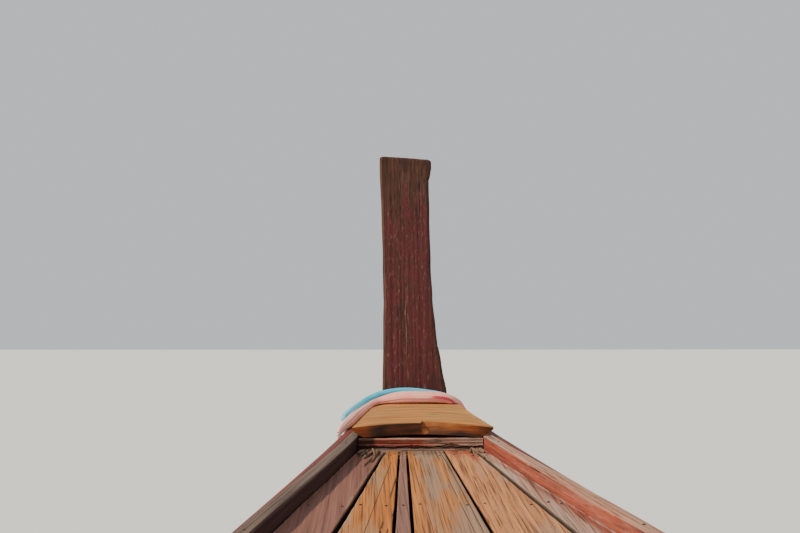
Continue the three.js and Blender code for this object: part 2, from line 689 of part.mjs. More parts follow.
function addCanopyFrames() {
  const { post, eave } = CANOPY;
  const posts = canopyPlaces.map((y) => {
    const x = canopyHalf(y);
    return block(x - post / 2, x + post / 2, y - post / 2, y + post / 2, railTop(y) + 8, eave);
  });
  const ends = [CANOPY.aft - 60, ...canopyPlaces, CANOPY.fore + 60];
  const eaveRail = loft(ends.map((y) => {
    const x = canopyHalf(y);
    return square(x - 22, x + 22, y, eave - 60, eave);
  }));
  const shoes = canopyPlaces.map((y) => {
    const x = canopyHalf(y);
    return block(x - 17, x + 17, y - 60, y + 60, railTop(y) - 12, railTop(y) + 30);
  });
  const starboard = join([eaveRail, ...posts, ...shoes]).subtract(railSeat);
  addSolid(boat, "canopy_frame_starboard", starboard, "canopyWood");
  addSolid(boat, "canopy_frame_port", mirrored(starboard), "canopyWood");
}

// The roof's arch: height above the eave at a share of the half-width.
const arch = (share) => CANOPY.crown * (1 - share * share);

function archRing(y, half, rise, thick, ends = []) {
  const inner = [-1, -0.75, -0.5, -0.25, 0, 0.25, 0.5, 0.75, 1];
  const shares = [...inner, ...ends, ...ends.map((s) => -s)].sort((a, b) => a - b);
  const upper = shares.map((s) => point(s * half, y, CANOPY.eave + rise + arch(s)));
  const lower = [...shares].reverse().map((s) => point(s * half, y, CANOPY.eave + rise + arch(s) - thick));
  return [...upper, ...lower];
}

function addCanopyBows() {
  const bows = canopyPlaces.map((y) => {
    const half = canopyHalf(y) + 22;
    return loft([y - 20, y + 20].map((at) => archRing(at, half, 36, 36 - GAP)));
  });
  const battens = [-0.5, 0, 0.5].map((share) => {
    const ends = [CANOPY.aft - 60, ...canopyPlaces, CANOPY.fore + 60];
    return loft(ends.map((y) => {
      const x = share * (canopyHalf(y) + 22);
      const top = CANOPY.eave + 32 + arch(share);
      return square(x - 18, x + 18, y, top - 22, top);
    }));
  });
  addSolid(boat, "canopy_bows", join([...bows, ...battens]).subtract(canopyCloth(-GAP)), "canopyWood");
}

function canopyCloth(lift) {
  const { edge, sheet, overhang } = CANOPY;
  const places = [CANOPY.aft - edge, ...canopyPlaces, CANOPY.fore + edge];
  return loft(places.map((y) => {
    const half = canopyHalf(y) + 22;
    return archRing(y, half, 36 + GAP + sheet + lift, sheet, [(half + overhang) / half]);
  }));
}

const addCanopySheet = () => addSolid(boat, "canopy_sheet", canopyCloth(0), "sheet");

// Stern

function addStern() {
  const boards = [[-470, -240], [-236, -4], [0, 236], [240, 470]];
  const deck = boards.map(([x0, x1]) => block(x0, x1, STERN + 44, -3960, 420, 445));
  const cleats = [-4760, -4060].map((y) => block(-900, 900, y - 35, y + 35, 385, 421));
  addSolid(boat, "stern_deck", fitted(join([...deck, ...cleats])), "innerWood");
  const beam = loft([-BEAM.half, -25, 25, BEAM.half].map((step) => {
    const y = PIVOT.y + step;
    const [half, low] = [railHalf(y) + 12, railTop(y) - 3];
    return square(-half, half, y, low, BEAM.top);
  }));
  addSolid(boat, "engine_beam", beam.subtract(railSeat), "hullWood");
  const { top } = BEAM;
  const socket = bar(point(0, PIVOT.y, top + 4), point(0, PIVOT.y, YOKE.base - 16), 46, 24);
  const plate = block(-110, 110, PIVOT.y - 70, PIVOT.y + 70, top + GAP, top + 14);
  const webs = [0, 1].map((turn) => {
    const [wide, deep] = turn ? [5, 66] : [90, 5];
    return block(-wide, wide, PIVOT.y - deep, PIVOT.y + deep, top + 13, top + 56);
  });
  const bore = bar(point(0, PIVOT.y, top + 20), point(0, PIVOT.y, YOKE.base), YOKE.pin + 1, 24);
  addSolid(boat, "swivel_socket", join([plate, socket, ...webs]).subtract(bore), "steel");
}

function addYoke() {
  const yoke = new THREE.Group();
  yoke.position.set(0, PIVOT.y, 0);
  const { base: low, thick, pin: pinRadius } = YOKE;
  const pin = bar(point(0, 0, BEAM.top + 21), point(0, 0, low + 4), pinRadius, 24);
  const disc = bar(point(0, 0, low - 16 + GAP), point(0, 0, low + 2), 62, 24);
  const base = block(-256, 256, -38, 38, low, low + thick);
  const arms = [-1, 1].map((side) => {
    const [x0, x1] = side < 0 ? [-252, -214] : [214, 252];
    const arm = block(x0, x1, -38, 38, low + thick - 8, PIVOT.z);
    const eye = bar(point(x0, 0, PIVOT.z), point(x1, 0, PIVOT.z), 38, 24);
    const hole = bar(point(x0 - 5, 0, PIVOT.z), point(x1 + 5, 0, PIVOT.z), PIN_R + 1, 24);
    return arm.add(eye).subtract(hole);
  });
  addSolid(yoke, "swivel_yoke", join([pin, disc, base, ...arms]), "steel");
  boat.add(yoke);
}

// Engine unit

function addEngine() {
  const unit = new THREE.Group();
  unit.position.set(0, PIVOT.y, PIVOT.z);
  boat.add(unit);
  addCradle(unit);
  addBlock(unit);
  addFrontDrive(unit);
  addBreathing(unit);
  addTiller(unit);
  addTail(unit);
}

function addCradle(unit) {
  const { x, wide, deep, aft, fore } = CRADLE;
  const rails = [-x, x].map((at) => block(at - wide / 2, at + wide / 2, aft, fore, -deep / 2, deep / 2));
  const crossings = [[aft, aft + 40], [fore - 40, fore]].map(([y0, y1]) => {
    return block(-x, x, y0, y1, -deep / 2, deep / 2);
  });
  const pins = [-1, 1].map((side) => bar(point(side * x, 0, 0), point(side * 262, 0, 0), PIN_R, 24));
  const caps = [-1, 1].map((side) => bar(point(side * 258, 0, 0), point(side * 268, 0, 0), 26, 24));
  const saddle = block(-26, 26, aft, aft + 40, deep / 2 - 1, CRANK - 32 - GAP);
  addSolid(unit, "engine_cradle", join([...rails, ...crossings, ...pins, ...caps, saddle]), "rust");
}

function addBlock(unit) {
  const crankcase = block(-112, 112, 62, 600, -40, 255);
  const sump = loft([level(105, 70, 590, -39), level(80, 95, 560, -100), level(70, 140, 520, -132)]);
  const feet = [[-1, 150], [1, 150], [-1, 530], [1, 530]].map(([side, y]) => {
    const [x0, x1] = side < 0 ? [-192, -100] : [100, 192];
    return block(x0, x1, y - 32, y + 32, CRADLE.deep / 2 + GAP, 52);
  });
  const ribs = [130, 230, 330, 430, 530].map((y) => block(-118, 118, y - 8, y + 8, 60, 235));
  const head = block(-96, 96, 70, 592, 255 + GAP, 322);
  const ports = [140, 270, 400, 530].map((y) => block(-112, 112, y - 24, y + 24, 270, 308));
  const cover = loft([level(70, 84, 578, 321), level(64, 90, 572, 360), level(44, 104, 558, 376)]);
  const filler = bar(point(0, 480, 370), point(0, 480, 396), 26, 20);
  addSolid(unit, "cylinder_head", join([head, ...ports, cover, filler]), "rust");
  const profile = [[0, -66], [60, -66], [66, -40], [110, 20], [128, 40], [128, 64], [0, 64]];
  const bell = new THREE.LatheGeometry(profile.map(([r, y]) => new THREE.Vector2(r, y)), 28);
  bell.translate(0, 0, CRANK);
  const housing = solidOf(bell);
  addSolid(unit, "engine_block", join([crankcase, sump, ...feet, ...ribs, housing]), "engineGrey");
}

// Pulleys on the front of the engine with the belt round them, and the dynamo that they drive.
function addFrontDrive(unit) {
  const wheels = [
    { x: 0, z: CRANK, r: 72, hub: 30 },
    { x: 0, z: 262, r: 52, hub: 22 },
    { x: -190, z: 160, r: 36, hub: 18 },
  ];
  const [near, front, far] = [600 + GAP, 636, 668];
  const cut = (outline, y0, y1) => loft([y0, y1].map((y) => outline.map(([x, z]) => point(x, y, z))));
  const belt = cut(beltOutline(wheels.map((w) => ({ x: w.x, z: w.z, r: w.r + 5 }))), front + 8, far - 8)
    .subtract(cut(beltOutline(wheels.map((w) => ({ x: w.x, z: w.z, r: w.r - 5 }))), front, far));
  const pulleys = wheels.map(({ x, z, r, hub }) => {
    const wheel = bar(point(x, front, z), point(x, far, z), r, 28);
    return wheel.add(bar(point(x, near, z), point(x, far + 12, z), hub, 20));
  });
  addSolid(unit, "belt_drive", join([belt, ...pulleys]), "rubber");
  const { x, z } = wheels[2];
  const dynamo = bar(point(x, 430, z), point(x, 600, z), 62, 24);
  const lug = block(-150, -118 - GAP, 470, 560, z - 60, z - 20);
  addSolid(unit, "dynamo", dynamo.add(lug), "steel");
}

// The outline of a belt round three pulleys: the hull of their circles.
function beltOutline(circles) {
  const around = circles.flatMap(({ x, z, r }) => Array.from({ length: 28 }, (_, i) => {
    const turn = (i / 28) * 2 * Math.PI;
    return [x + r * Math.cos(turn), z + r * Math.sin(turn)];
  })).sort((a, b) => a[0] - b[0] || a[1] - b[1]);
  const chain = (points) => points.reduce((kept, p) => {
    const turn = (a, b) => (b[0] - a[0]) * (p[1] - a[1]) - (b[1] - a[1]) * (p[0] - a[0]);
    while (kept.length > 1 && turn(kept[kept.length - 2], kept[kept.length - 1]) <= 1e-6) kept.pop();
    return [...kept, p];
  }, []);
  const [low, high] = [chain(around), chain([...around].reverse())];
  return [...low.slice(0, -1), ...high.slice(0, -1)];
}

// Inlet, air cleaner, exhaust manifold and the raised exhaust pipe.
function addBreathing(unit) {
  const runners = [270, 400].map((y) => block(112 + GAP, 150, y - 22, y + 22, 272, 306));
  const plenum = block(140, 190, 220, 450, 262, 312);
  const carburettor = block(130, 200, 290, 370, 311, 372);
  const cleaner = [[0, 0], [34, 0], [36, 10], [112, 14], [118, 22], [118, 60], [108, 70], [24, 74], [0, 74]];
  const bowl = new THREE.LatheGeometry(cleaner.map(([r, z]) => new THREE.Vector2(r, z)), 30);
  bowl.rotateX(Math.PI / 2).translate(165, 330, 371);
  addSolid(unit, "air_intake", join([plenum, carburettor, ...runners, solidOf(bowl)]), "steel");
  const stubs = [140, 270, 400, 530].map((y) => bar(point(-112 - GAP, y, 289), point(-160, y, 289), 18, 14));
  const log = bar(point(-160, 120, 289), point(-160, 560, 289), 27, 16);
  const path = new THREE.CatmullRomCurve3([
    point(-160, 124, 289), point(-160, 60, 289), point(-172, 0, 300), point(-196, -40, 340),
    point(-214, -56, 420), point(-220, -60, 520), point(-220, -60, 560),
  ], false, "centripetal");
  addSolid(unit, "exhaust", join([log, ...stubs, tube(path, 22, 12, 14)]), "rust");
}

// A round tube along a path, its ends closed.
function tube(path, radius, steps, sides) {
  const shape = new THREE.Shape(Array.from({ length: sides }, (_, i) => {
    const turn = (i / sides) * 2 * Math.PI;
    return new THREE.Vector2(radius * Math.cos(turn), radius * Math.sin(turn));
  }));
  return solidOf(new THREE.ExtrudeGeometry(shape, { steps, extrudePath: path, bevelEnabled: false }));
}

function addTiller(unit) {
  const path = new THREE.CatmullRomCurve3([
    point(0, CRADLE.fore + 8, 4), point(0, 900, 10), point(0, 1040, 60), point(0, 1180, 130),
    point(0, 1500, 196),
  ], false, "centripetal");
  const foot = block(-40, 40, CRADLE.fore + GAP, CRADLE.fore + 16, -22, 30);
  const [end, along] = [path.getPointAt(1), path.getTangentAt(1)];
  const grip = bar(end.clone().addScaledVector(along, -2), end.clone().addScaledVector(along, 170), 21, 16);
  addSolid(unit, "tiller", join([tube(path, 17, 14, 14), foot, grip]), "steel");
}

function addTail(unit) {
  const flange = bar(point(0, -66 - GAP, CRANK), point(0, -84, CRANK), 60, 24);
  const tubeLong = bar(point(0, -70, CRANK), point(0, TAIL_END, CRANK), 32, 20);
  const bore = bar(point(0, -60, CRANK), point(0, TAIL_END - 5, CRANK), 28, 20);
  const collar = bar(point(0, TAIL_END, CRANK), point(0, TAIL_END + 90, CRANK), 40, 20);
  const over = CRANK + 28;
  const mast = bar(point(0, -1500, over), point(0, -1500, CRANK + 190), 12, 12);
  const fore = bar(point(0, -120, over + 8), point(0, -1500, CRANK + 186), 7, 10);
  const aft = bar(point(0, -1500, CRANK + 186), point(0, -3100, over + 8), 7, 10);
  const shoes = [-130, -3090].map((y) => block(-9, 9, y - 30, y + 30, over, over + 20));
  const tail = join([flange, tubeLong, collar, mast, fore, aft, ...shoes]);
  addSolid(unit, "tail_tube", tail.subtract(bore), "steel");
  const under = CRANK - 32 - GAP;
  const fin = plateAcross([
    [-3960, under], [-4225, under], [-4235, under - 14], [-4300, under - 50], [-4400, under - 190],
    [-4330, under - 196], [-4160, under - 90],
  ], -4, 4);
  addSolid(unit, "skeg", fin, "steel");
  const shaft = join([
    bar(point(0, TAIL_END + 300, CRANK), point(0, TAIL_END - 165, CRANK), 15, 20),
    bar(point(0, TAIL_END + 60, CRANK), point(0, TAIL_END + 20, CRANK), 28 - GAP, 20),
    bar(point(0, TAIL_END - 152, CRANK), point(0, TAIL_END - 186, CRANK), 24, 16, 12),
  ]);
  const hub = bar(point(0, TAIL_END - 60, CRANK), point(0, TAIL_END - 151, CRANK), 32, 20, 25);
  const blades = [0, 1, 2].map((i) => propellerBlade((i * 2 * Math.PI) / 3));
  addSolid(unit, "propeller", join([hub, shaft, ...blades]), "bronze");
}

// One twisted blade: sections along its radius, each a thin lens set at the pitch's angle.
function propellerBlade(turn) {
  const rows = [
    { r: 20, chord: 34, thick: 7 }, { r: 50, chord: 52, thick: 6 }, { r: 90, chord: 66, thick: 5 },
    { r: 125, chord: 56, thick: 4 }, { r: 148, chord: 26, thick: 3 },
  ];
  const pitch = 230;
  const rings = rows.map(({ r, chord, thick }) => {
    const angle = Math.atan(pitch / (2 * Math.PI * Math.max(r, 30)));
    return [[-0.5, 0], [-0.2, 0.5], [0.2, 0.5], [0.5, 0], [0.2, -0.5], [-0.2, -0.5]].map(([u, v]) => {
      const [across, deep] = [u * chord, v * thick];
      const side = across * Math.cos(angle) - deep * Math.sin(angle);
      const along = across * Math.sin(angle) + deep * Math.cos(angle);
      const place = point(side, TAIL_END - 105 + along, r).applyAxisAngle(point(0, 1, 0), turn);
      return place.add(point(0, 0, CRANK));
    });
  });
  return loft(rings);
}

addPlanking();
addKeel();
addStem();
addTransom();
addRails();
addRubbingStrakes();
addFrames();
addBenches();
addFloor();
addForedeck();
addDeckBeams();
addBow();
addSashes();
addCanopyFrames();
addCanopyBows();
addCanopySheet();
addStern();
addYoke();
addEngine();

export default boat;
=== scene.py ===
# Longtail boat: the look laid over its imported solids.
# Metres, +Y is forward, +X is starboard, +Z is up, and z = 0 is the water.
import json
import math

import bmesh
import bpy
from mathutils import Matrix, Vector, noise
from mathutils.bvhtree import BVHTree


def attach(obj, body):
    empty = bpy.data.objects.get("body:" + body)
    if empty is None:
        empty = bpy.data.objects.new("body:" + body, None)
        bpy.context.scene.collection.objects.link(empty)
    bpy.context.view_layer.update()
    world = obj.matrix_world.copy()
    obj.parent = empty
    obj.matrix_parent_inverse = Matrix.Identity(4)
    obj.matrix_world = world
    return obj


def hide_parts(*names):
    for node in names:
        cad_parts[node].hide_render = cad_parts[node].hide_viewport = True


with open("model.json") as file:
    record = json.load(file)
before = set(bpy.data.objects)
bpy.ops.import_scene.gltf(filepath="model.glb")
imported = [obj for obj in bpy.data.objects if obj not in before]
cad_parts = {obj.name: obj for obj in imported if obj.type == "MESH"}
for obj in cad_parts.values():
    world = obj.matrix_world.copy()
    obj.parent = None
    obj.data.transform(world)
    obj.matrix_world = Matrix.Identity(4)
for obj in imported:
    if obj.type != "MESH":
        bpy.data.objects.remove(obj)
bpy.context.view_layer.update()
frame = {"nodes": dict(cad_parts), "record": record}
nodes = frame["nodes"]
bodyOf = {node: body for body, names in frame["record"]["behaviour"]["bodies"].items() for node in names}
slotOf = {part["node"]: part["material_slot"] for part in frame["record"]["subparts"]}
sides = {"port": -1, "starboard": 1}


# Meshes and nodes


def addObject(name, data):
    thing = bpy.data.objects.new(name, data)
    bpy.context.scene.collection.objects.link(thing)
    return thing


def addPiece(name, points=(), faces=(), edges=()):
    mesh = bpy.data.meshes.new(name)
    mesh.from_pydata([tuple(p) for p in points], edges, faces)
    return addObject(name, mesh)


def linear(hexCode):  # an sRGB hex value as linear red, green, blue, alpha
    parts = [int(hexCode[i : i + 2], 16) / 255 for i in (1, 3, 5)]
    return [p / 12.92 if p <= 0.04045 else ((p + 0.055) / 1.055) ** 2.4 for p in parts] + [1.0]


def setInputs(node, inputs):  # links a socket, and sets a hex colour or any other value
    for key, value in inputs.items():
        if isinstance(value, bpy.types.NodeSocket):
            node.id_data.links.new(value, node.inputs[key])
        else:
            node.inputs[key].default_value = linear(value) if str(value).startswith("#") else value


def addNode(tree, kind, inputs=None, out=0, stops=(), **settings):  # gives the new node's output
    node = tree.nodes.new(kind if tree.type == "GEOMETRY" else "ShaderNode" + kind)
    for name, value in settings.items():
        setattr(node, name, value)
    setInputs(node, inputs or {})
    for i, (position, colour) in enumerate(stops):
        ramp = node.color_ramp.elements
        stop = ramp[i] if i < 2 else ramp.new(position)
        stop.position = position
        stop.color = linear(colour) if isinstance(colour, str) else colour
    return node.outputs[out] if node.outputs else node


def startMaterial(name, roughness=0.6, metallic=0.0):
    material = bpy.data.materials.new(name)
    material.use_nodes = True
    shader = material.node_tree.nodes["Principled BSDF"]
    setInputs(shader, {"Roughness": roughness, "Metallic": metallic})
    return material, material.node_tree, shader


# Camera, light and the floor at the waterline

camera = {
    "place": (-0.156, 2.26, 1.20),  # a seated passenger's eye, a little to port
    "pitch": 7.17,  # degrees up
    "heading": 2.69,  # degrees to starboard
    "lens": 27.9,
    "sensor": 36,
    "clip": (0.05, 400),
}
light = {
    "from": (-0.80, -0.16, 0.62),  # from port, a little aft of the beam
    "colour": "#fff1dc",
    "power": 5.0,
    "softness": 3.0,  # degrees
    "skyColour": "#e6ebee",
    "skyPower": 0.8,
}


def placeCamera():
    data = bpy.data.cameras.new("camera")
    data.sensor_width = camera["sensor"]
    data.lens = camera["lens"]
    data.clip_start, data.clip_end = camera["clip"]
    holder = addObject("camera", data)
    holder.location = camera["place"]
    holder.rotation_euler = (math.radians(90 + camera["pitch"]), 0, -math.radians(camera["heading"]))
    bpy.context.scene.camera = holder


def placeLight():
    sun = bpy.data.lights.new("sun", "SUN")
    sun.energy = light["power"]
    sun.angle = math.radians(light["softness"])
    sun.color = linear(light["colour"])[:3]
    addObject("sun", sun).rotation_euler = Vector(light["from"]).to_track_quat("Z", "Y").to_euler()
    world = bpy.data.worlds.new("studio")
    world.use_nodes = True
    sky = {"Color": light["skyColour"], "Strength": light["skyPower"]}
    setInputs(world.node_tree.nodes["Background"], sky)
    bpy.context.scene.world = world


placeCamera()
placeLight()

floor = {
    "reach": 150.0,
    "inset": 0.012,  # the hole's edge lies inside the planking's thickness
    "colour": "#d9dcdb",
    # half-breadth of the hull at the water, from the transom to the cutwater
    "waterline": [
        (-4.885, 0.282), (-4.5, 0.367), (-4.1, 0.459), (-3.7, 0.546), (-3.3, 0.609), (-2.9, 0.645),
        (-2.5, 0.674), (-2.1, 0.698), (-1.7, 0.716), (-1.3, 0.729), (-0.9, 0.738), (-0.5, 0.742),
        (-0.1, 0.738), (0.3, 0.726), (0.7, 0.708), (1.1, 0.682), (1.5, 0.642), (1.9, 0.584), (2.3, 0.501),
        (2.7, 0.402), (3.1, 0.296), (3.5, 0.201), (3.9, 0.118), (4.27, 0.052),
    ],
}


def layFloor():
    bm = bmesh.new()
    reach = floor["reach"]
    right = [(half - floor["inset"], y) for y, half in floor["waterline"]]
    edges = []
    for loop in (
        [(-reach, -reach), (reach, -reach), (reach, reach), (-reach, reach)],
        right + [(-x, y) for x, y in reversed(right)],
    ):
        corners = [bm.verts.new((x, y, 0)) for x, y in loop]
        edges += [bm.edges.new((corners[i - 1], corners[i])) for i in range(len(corners))]
    bmesh.ops.triangle_fill(bm, edges=edges, use_beauty=True, normal=(0, 0, 1))
    piece = addPiece("studioFloor")
    bm.to_mesh(piece.data)
    bm.free()
    material, _, shader = startMaterial("studio floor paint", 0.9)
    setInputs(shader, {"Base Color": floor["colour"]})
    piece.data.materials.append(material)


layFloor()
print("stage: camera, light, floor")


# Materials

# Hardwood planks, sawn, painted or oiled years ago and bleached by sun and salt: fibres stand up in
# long streaks, the paint is left in flakes, and drying cracks run with the grain.
timberLook = {
    "grain": "y",
    "longer": 45,  # how much longer than wide the grain's marks are
    "patchLonger": 8,  # the same for patches of paint and of grey
    "crackLonger": 80,
    "fibreMm": 5.0,  # real fibres are finer, and these are as coarse as shows
    "bandMm": 26.0,
    "patchMm": 70.0,
    "crackMm": 70.0,  # between long cracks
    "crackWidth": 0.016,
    "cracks": 0.5,  # share of the surface where cracks show
    "slant": 0.0,  # degrees by which the cracks leave the grain
    "checks": 0.4,  # how dark the fine drying checks are
    "wood": ("#c08a50", "#6e4526"),
    "grey": "#8f8578",
    "greying": 0.3,
    "greyMost": 0.7,
    "paint": ("#6b2a2e", "#4a1c20"),
    "cover": 0.0,
    "flakeEdge": 0.03,
    "edgeWear": 0.22,
    "fade": None,  # heights at which the paint is whole and has gone
    "specks": None,  # colour of small chips in the paint
    "scar": None,  # place across and lowest and highest place along of one long pale crack
    "scarColour": "#8d7359",
    # the dark colour mixed in for painted shade in gaps, seams and corners, and for some dirt
    "dirt": "#21130c",
    "roughWood": 0.86,
    "roughPaint": 0.6,
    "relief": 0.0009,
    "seed": 0.0,
}


def wornTimber(name, **changes):
    look = {**timberLook, **changes}
    material, tree, shader = startMaterial(name, look["roughWood"])
    place = addNode(tree, "Attribute", None, "Vector", attribute_name="laid")
    ways = [
        addNode(tree, "Mapping", {
            "Vector": place, "Location": (look["seed"] + shift,) * 3,
            "Rotation": (0, 0, math.radians(turn)),
            "Scale": [longer if axis == look["grain"] else 1.0 for axis in "xyz"],
        }, vector_type="TEXTURE")
        for longer, turn, shift in (
            (look["longer"], 0.0, 0.0), (look["patchLonger"], 0.0, 3.1),
            (look["crackLonger"], look["slant"], 7.7),
        )
    ]
    fibres, bands, patches, flecks, lines = (
        addNode(tree, "TexNoise", {
            "Vector": ways[way], "Scale": 1000 / size, "Detail": detail, "Roughness": rough,
            "Distortion": distortion,
        })
        for way, size, detail, rough, distortion in (
            (0, look["fibreMm"], 5.0, 0.6, 0.0), (0, look["bandMm"], 4.0, 0.6, 0.0),
            (1, look["patchMm"], 6.0, 0.6, 0.3), (1, look["patchMm"] / 8, 5.0, 0.65, 0.0),
            (2, look["crackMm"], 0.0, 0.5, 0.0),
        )
    )
    grain = addNode(tree, "Mix", {0: 0.5, 2: fibres, 3: bands})
    light, dark = look["wood"]
    middle = [a * 0.6 + b * 0.4 for a, b in zip(linear(light), linear(dark))]
    colour = addNode(tree, "ValToRGB", {0: grain}, stops=[(0.36, dark), (0.63, light), (0.49, middle)])
    mottled = addNode(tree, "Mix", {0: 0.4, 2: patches, 3: fibres})
    bleach = addNode(tree, "Attribute", None, "Fac", attribute_name="bleach")
    weathered = addNode(tree, "Math", {0: bleach, 1: 0.2, 2: mottled}, operation="MULTIPLY_ADD")
    edge = 0.62 - 0.24 * look["greying"]
    greyed = addNode(tree, "MapRange", {
        0: weathered, "From Min": edge, "From Max": edge + 0.1, "To Max": look["greyMost"],
    })
    colour = addNode(tree, "Mix", {0: greyed, 6: colour, 7: look["grey"]}, 2, data_type="RGBA")
    rough, height = look["roughWood"], grain
    if look["cover"] > 0:
        broken = addNode(tree, "Math", {0: flecks, 1: 0.3, 2: mottled}, operation="MULTIPLY_ADD")
        wear = addNode(tree, "Attribute", None, "Fac", attribute_name="wear")
        left = addNode(tree, "Math", {0: wear, 1: -look["edgeWear"], 2: broken}, operation="MULTIPLY_ADD")
        if look["fade"]:
            whole, gone = look["fade"]
            up = addNode(tree, "SeparateXYZ", {0: place}, "Z")
            fade = addNode(tree, "MapRange", {0: up, "From Min": whole, "From Max": gone, "To Max": -0.4})
            left = addNode(tree, "Math", {0: left, 1: fade}, operation="ADD")
        edge = 0.65 + 0.42 * (0.5 - look["cover"])
        low, high = edge - look["flakeEdge"], edge + look["flakeEdge"]
        mask = addNode(tree, "MapRange", {0: left, "From Min": low, "From Max": high})
        thick, thin = look["paint"]
        paint = addNode(tree, "ValToRGB", {0: grain}, stops=[(0.38, thin), (0.6, thick)])
        if look["specks"]:
            chips = addNode(tree, "MapRange", {
                0: flecks, "From Min": 0.585, "From Max": 0.64, "To Max": 0.65,
            })
            paint = addNode(tree, "Mix", {0: chips, 6: paint, 7: look["specks"]}, 2, data_type="RGBA")
        colour = addNode(tree, "Mix", {0: mask, 6: colour, 7: paint}, 2, data_type="RGBA")
        rough = addNode(tree, "Mix", {0: mask, 2: look["roughWood"], 3: look["roughPaint"]})
        height = addNode(tree, "Math", {0: mask, 1: 0.15, 2: height}, operation="MULTIPLY_ADD")
    checks = addNode(tree, "MapRange", {
        0: fibres, "From Min": 0.44, "From Max": 0.36, "To Max": look["checks"],
    })
    offset = addNode(tree, "Math", {0: lines, 1: 0.5}, operation="SUBTRACT")
    apart = addNode(tree, "Math", {0: offset}, operation="ABSOLUTE")
    line = addNode(tree, "MapRange", {0: apart, "From Min": look["crackWidth"], "From Max": 0.0})
    edge = 0.66 - 0.28 * look["cracks"]
    where = addNode(tree, "MapRange", {0: patches, "From Min": edge, "From Max": edge + 0.04})
    crack = addNode(tree, "Math", {0: line, 1: where}, operation="MULTIPLY")
    if look["scar"]:
        across, low, high = look["scar"]
        aside, _, up = addNode(tree, "SeparateXYZ", {0: place}).node.outputs
        wander = addNode(tree, "Math", {0: bands, 1: -0.05, 2: aside}, operation="MULTIPLY_ADD")
        met = addNode(tree, "Math", {0: wander, 1: across - 0.025, 2: 0.0016}, operation="COMPARE")
        start = addNode(tree, "MapRange", {0: up, "From Min": low, "From Max": low + 0.05})
        end = addNode(tree, "MapRange", {0: up, "From Min": high, "From Max": high - 0.2, "To Max": 0.55})
        run = addNode(tree, "Math", {0: start, 1: end}, operation="MULTIPLY")
        pale = addNode(tree, "Math", {0: met, 1: run}, operation="MULTIPLY")
        colour = addNode(tree, "Mix", {0: pale, 6: colour, 7: look["scarColour"]}, 2, data_type="RGBA")
    marked = addNode(tree, "Math", {0: checks, 1: crack}, operation="MAXIMUM")
    # darkened by the checks and cracks, and by a mark that paints shade into gaps, seams and corners, with
    # some dirt
    dirt = addNode(tree, "Attribute", None, "Fac", attribute_name="dirt")
    dark = addNode(tree, "Math", {0: marked, 1: dirt}, operation="MAXIMUM")
    colour = addNode(tree, "Mix", {0: dark, 6: colour, 7: look["dirt"]}, 2, data_type="RGBA")
    deep = addNode(tree, "Math", {0: marked, 1: -1.2, 2: height}, operation="MULTIPLY_ADD")
    bump = addNode(tree, "Bump", {"Height": deep, "Strength": 0.75, "Distance": look["relief"]})
    setInputs(shader, {"Base Color": colour, "Normal": bump, "Roughness": rough, "Specular IOR Level": 0.35})
    return material


# Mild steel under brushed machine paint: the paint has dulled, and rust comes through in freckles.
metalLook = {
    "paint": ("#6f7476", "#565b5e"),
    "rust": ("#6b3a22", "#3f2417"),
    "rusting": 0.35,
    "grainMm": 14.0,
    "roughness": 0.5,
    "roughRust": 0.9,
    "seed": 0.0,
}


def rustedPaint(name, **changes):
    look = {**metalLook, **changes}
    material, tree, shader = startMaterial(name, look["roughness"])
    place = addNode(tree, "TexCoord", None, "Object")
    moved = addNode(tree, "Mapping", {"Vector": place, "Location": (look["seed"],) * 3})
    cloud, grit = (
        addNode(tree, "TexNoise", {
            "Vector": moved, "Scale": fine / look["grainMm"], "Detail": detail, "Roughness": rough,
        })
        for fine, detail, rough in ((220, 6.0, 0.68), (2600, 4.0, 0.7))
    )
    both = addNode(tree, "Mix", {0: 0.4, 2: cloud, 3: grit})
    edge = 0.68 - 0.36 * look["rusting"]
    mask = addNode(tree, "MapRange", {0: both, "From Min": edge - 0.02, "From Max": edge + 0.04})
    clean, dirty = look["paint"]
    bright, old = look["rust"]
    paint = addNode(tree, "ValToRGB", {0: cloud}, stops=[(0.35, dirty), (0.6, clean)])
    rust = addNode(tree, "ValToRGB", {0: grit}, stops=[(0.35, old), (0.62, bright)])
    mixed = addNode(tree, "Mix", {0: mask, 6: paint, 7: rust}, 2, data_type="RGBA")
    rough = addNode(tree, "Mix", {0: mask, 2: look["roughness"], 3: look["roughRust"]})
    lumps = addNode(tree, "Math", {0: mask, 1: 0.5, 2: grit}, operation="MULTIPLY_ADD")
    bump = addNode(tree, "Bump", {"Height": lumps, "Strength": 0.5, "Distance": 0.0006})
    setInputs(shader, {"Base Color": mixed, "Roughness": rough, "Normal": bump})
    return material


# Bare metal that was cast or turned and has dulled in sea air: bright on the metal, dark in the pits.
def dullMetal(name, light, dark, roughness, grainMm):
    material, tree, shader = startMaterial(name, roughness, 1.0)
    place = addNode(tree, "TexCoord", None, "Object")
    cloud = addNode(tree, "TexNoise", {
        "Vector": place, "Scale": 1000 / grainMm, "Detail": 7.0, "Roughness": 0.7,
    })
    colour = addNode(tree, "ValToRGB", {0: cloud}, stops=[(0.34, dark), (0.62, light)])
    rough = addNode(tree, "MapRange", {
        0: cloud, "From Min": 0.3, "From Max": 0.7, "To Min": roughness + 0.2, "To Max": roughness - 0.05,
    })
    bump = addNode(tree, "Bump", {"Height": cloud, "Strength": 0.4, "Distance": 0.0004})
    setInputs(shader, {"Base Color": colour, "Roughness": rough, "Normal": bump})
    return material


# Moulded rubber, dusty: matt black with a grey bloom.
def dustyRubber(name):
    material, tree, shader = startMaterial(name, 0.85)
    place = addNode(tree, "TexCoord", None, "Object")
    dust = addNode(tree, "TexNoise", {"Vector": place, "Scale": 60.0, "Detail": 6.0, "Roughness": 0.6})
    colour = addNode(tree, "ValToRGB", {0: dust}, stops=[(0.4, "#171717"), (0.72, "#3c3a37")])
    setInputs(shader, {"Base Color": colour})
    return material


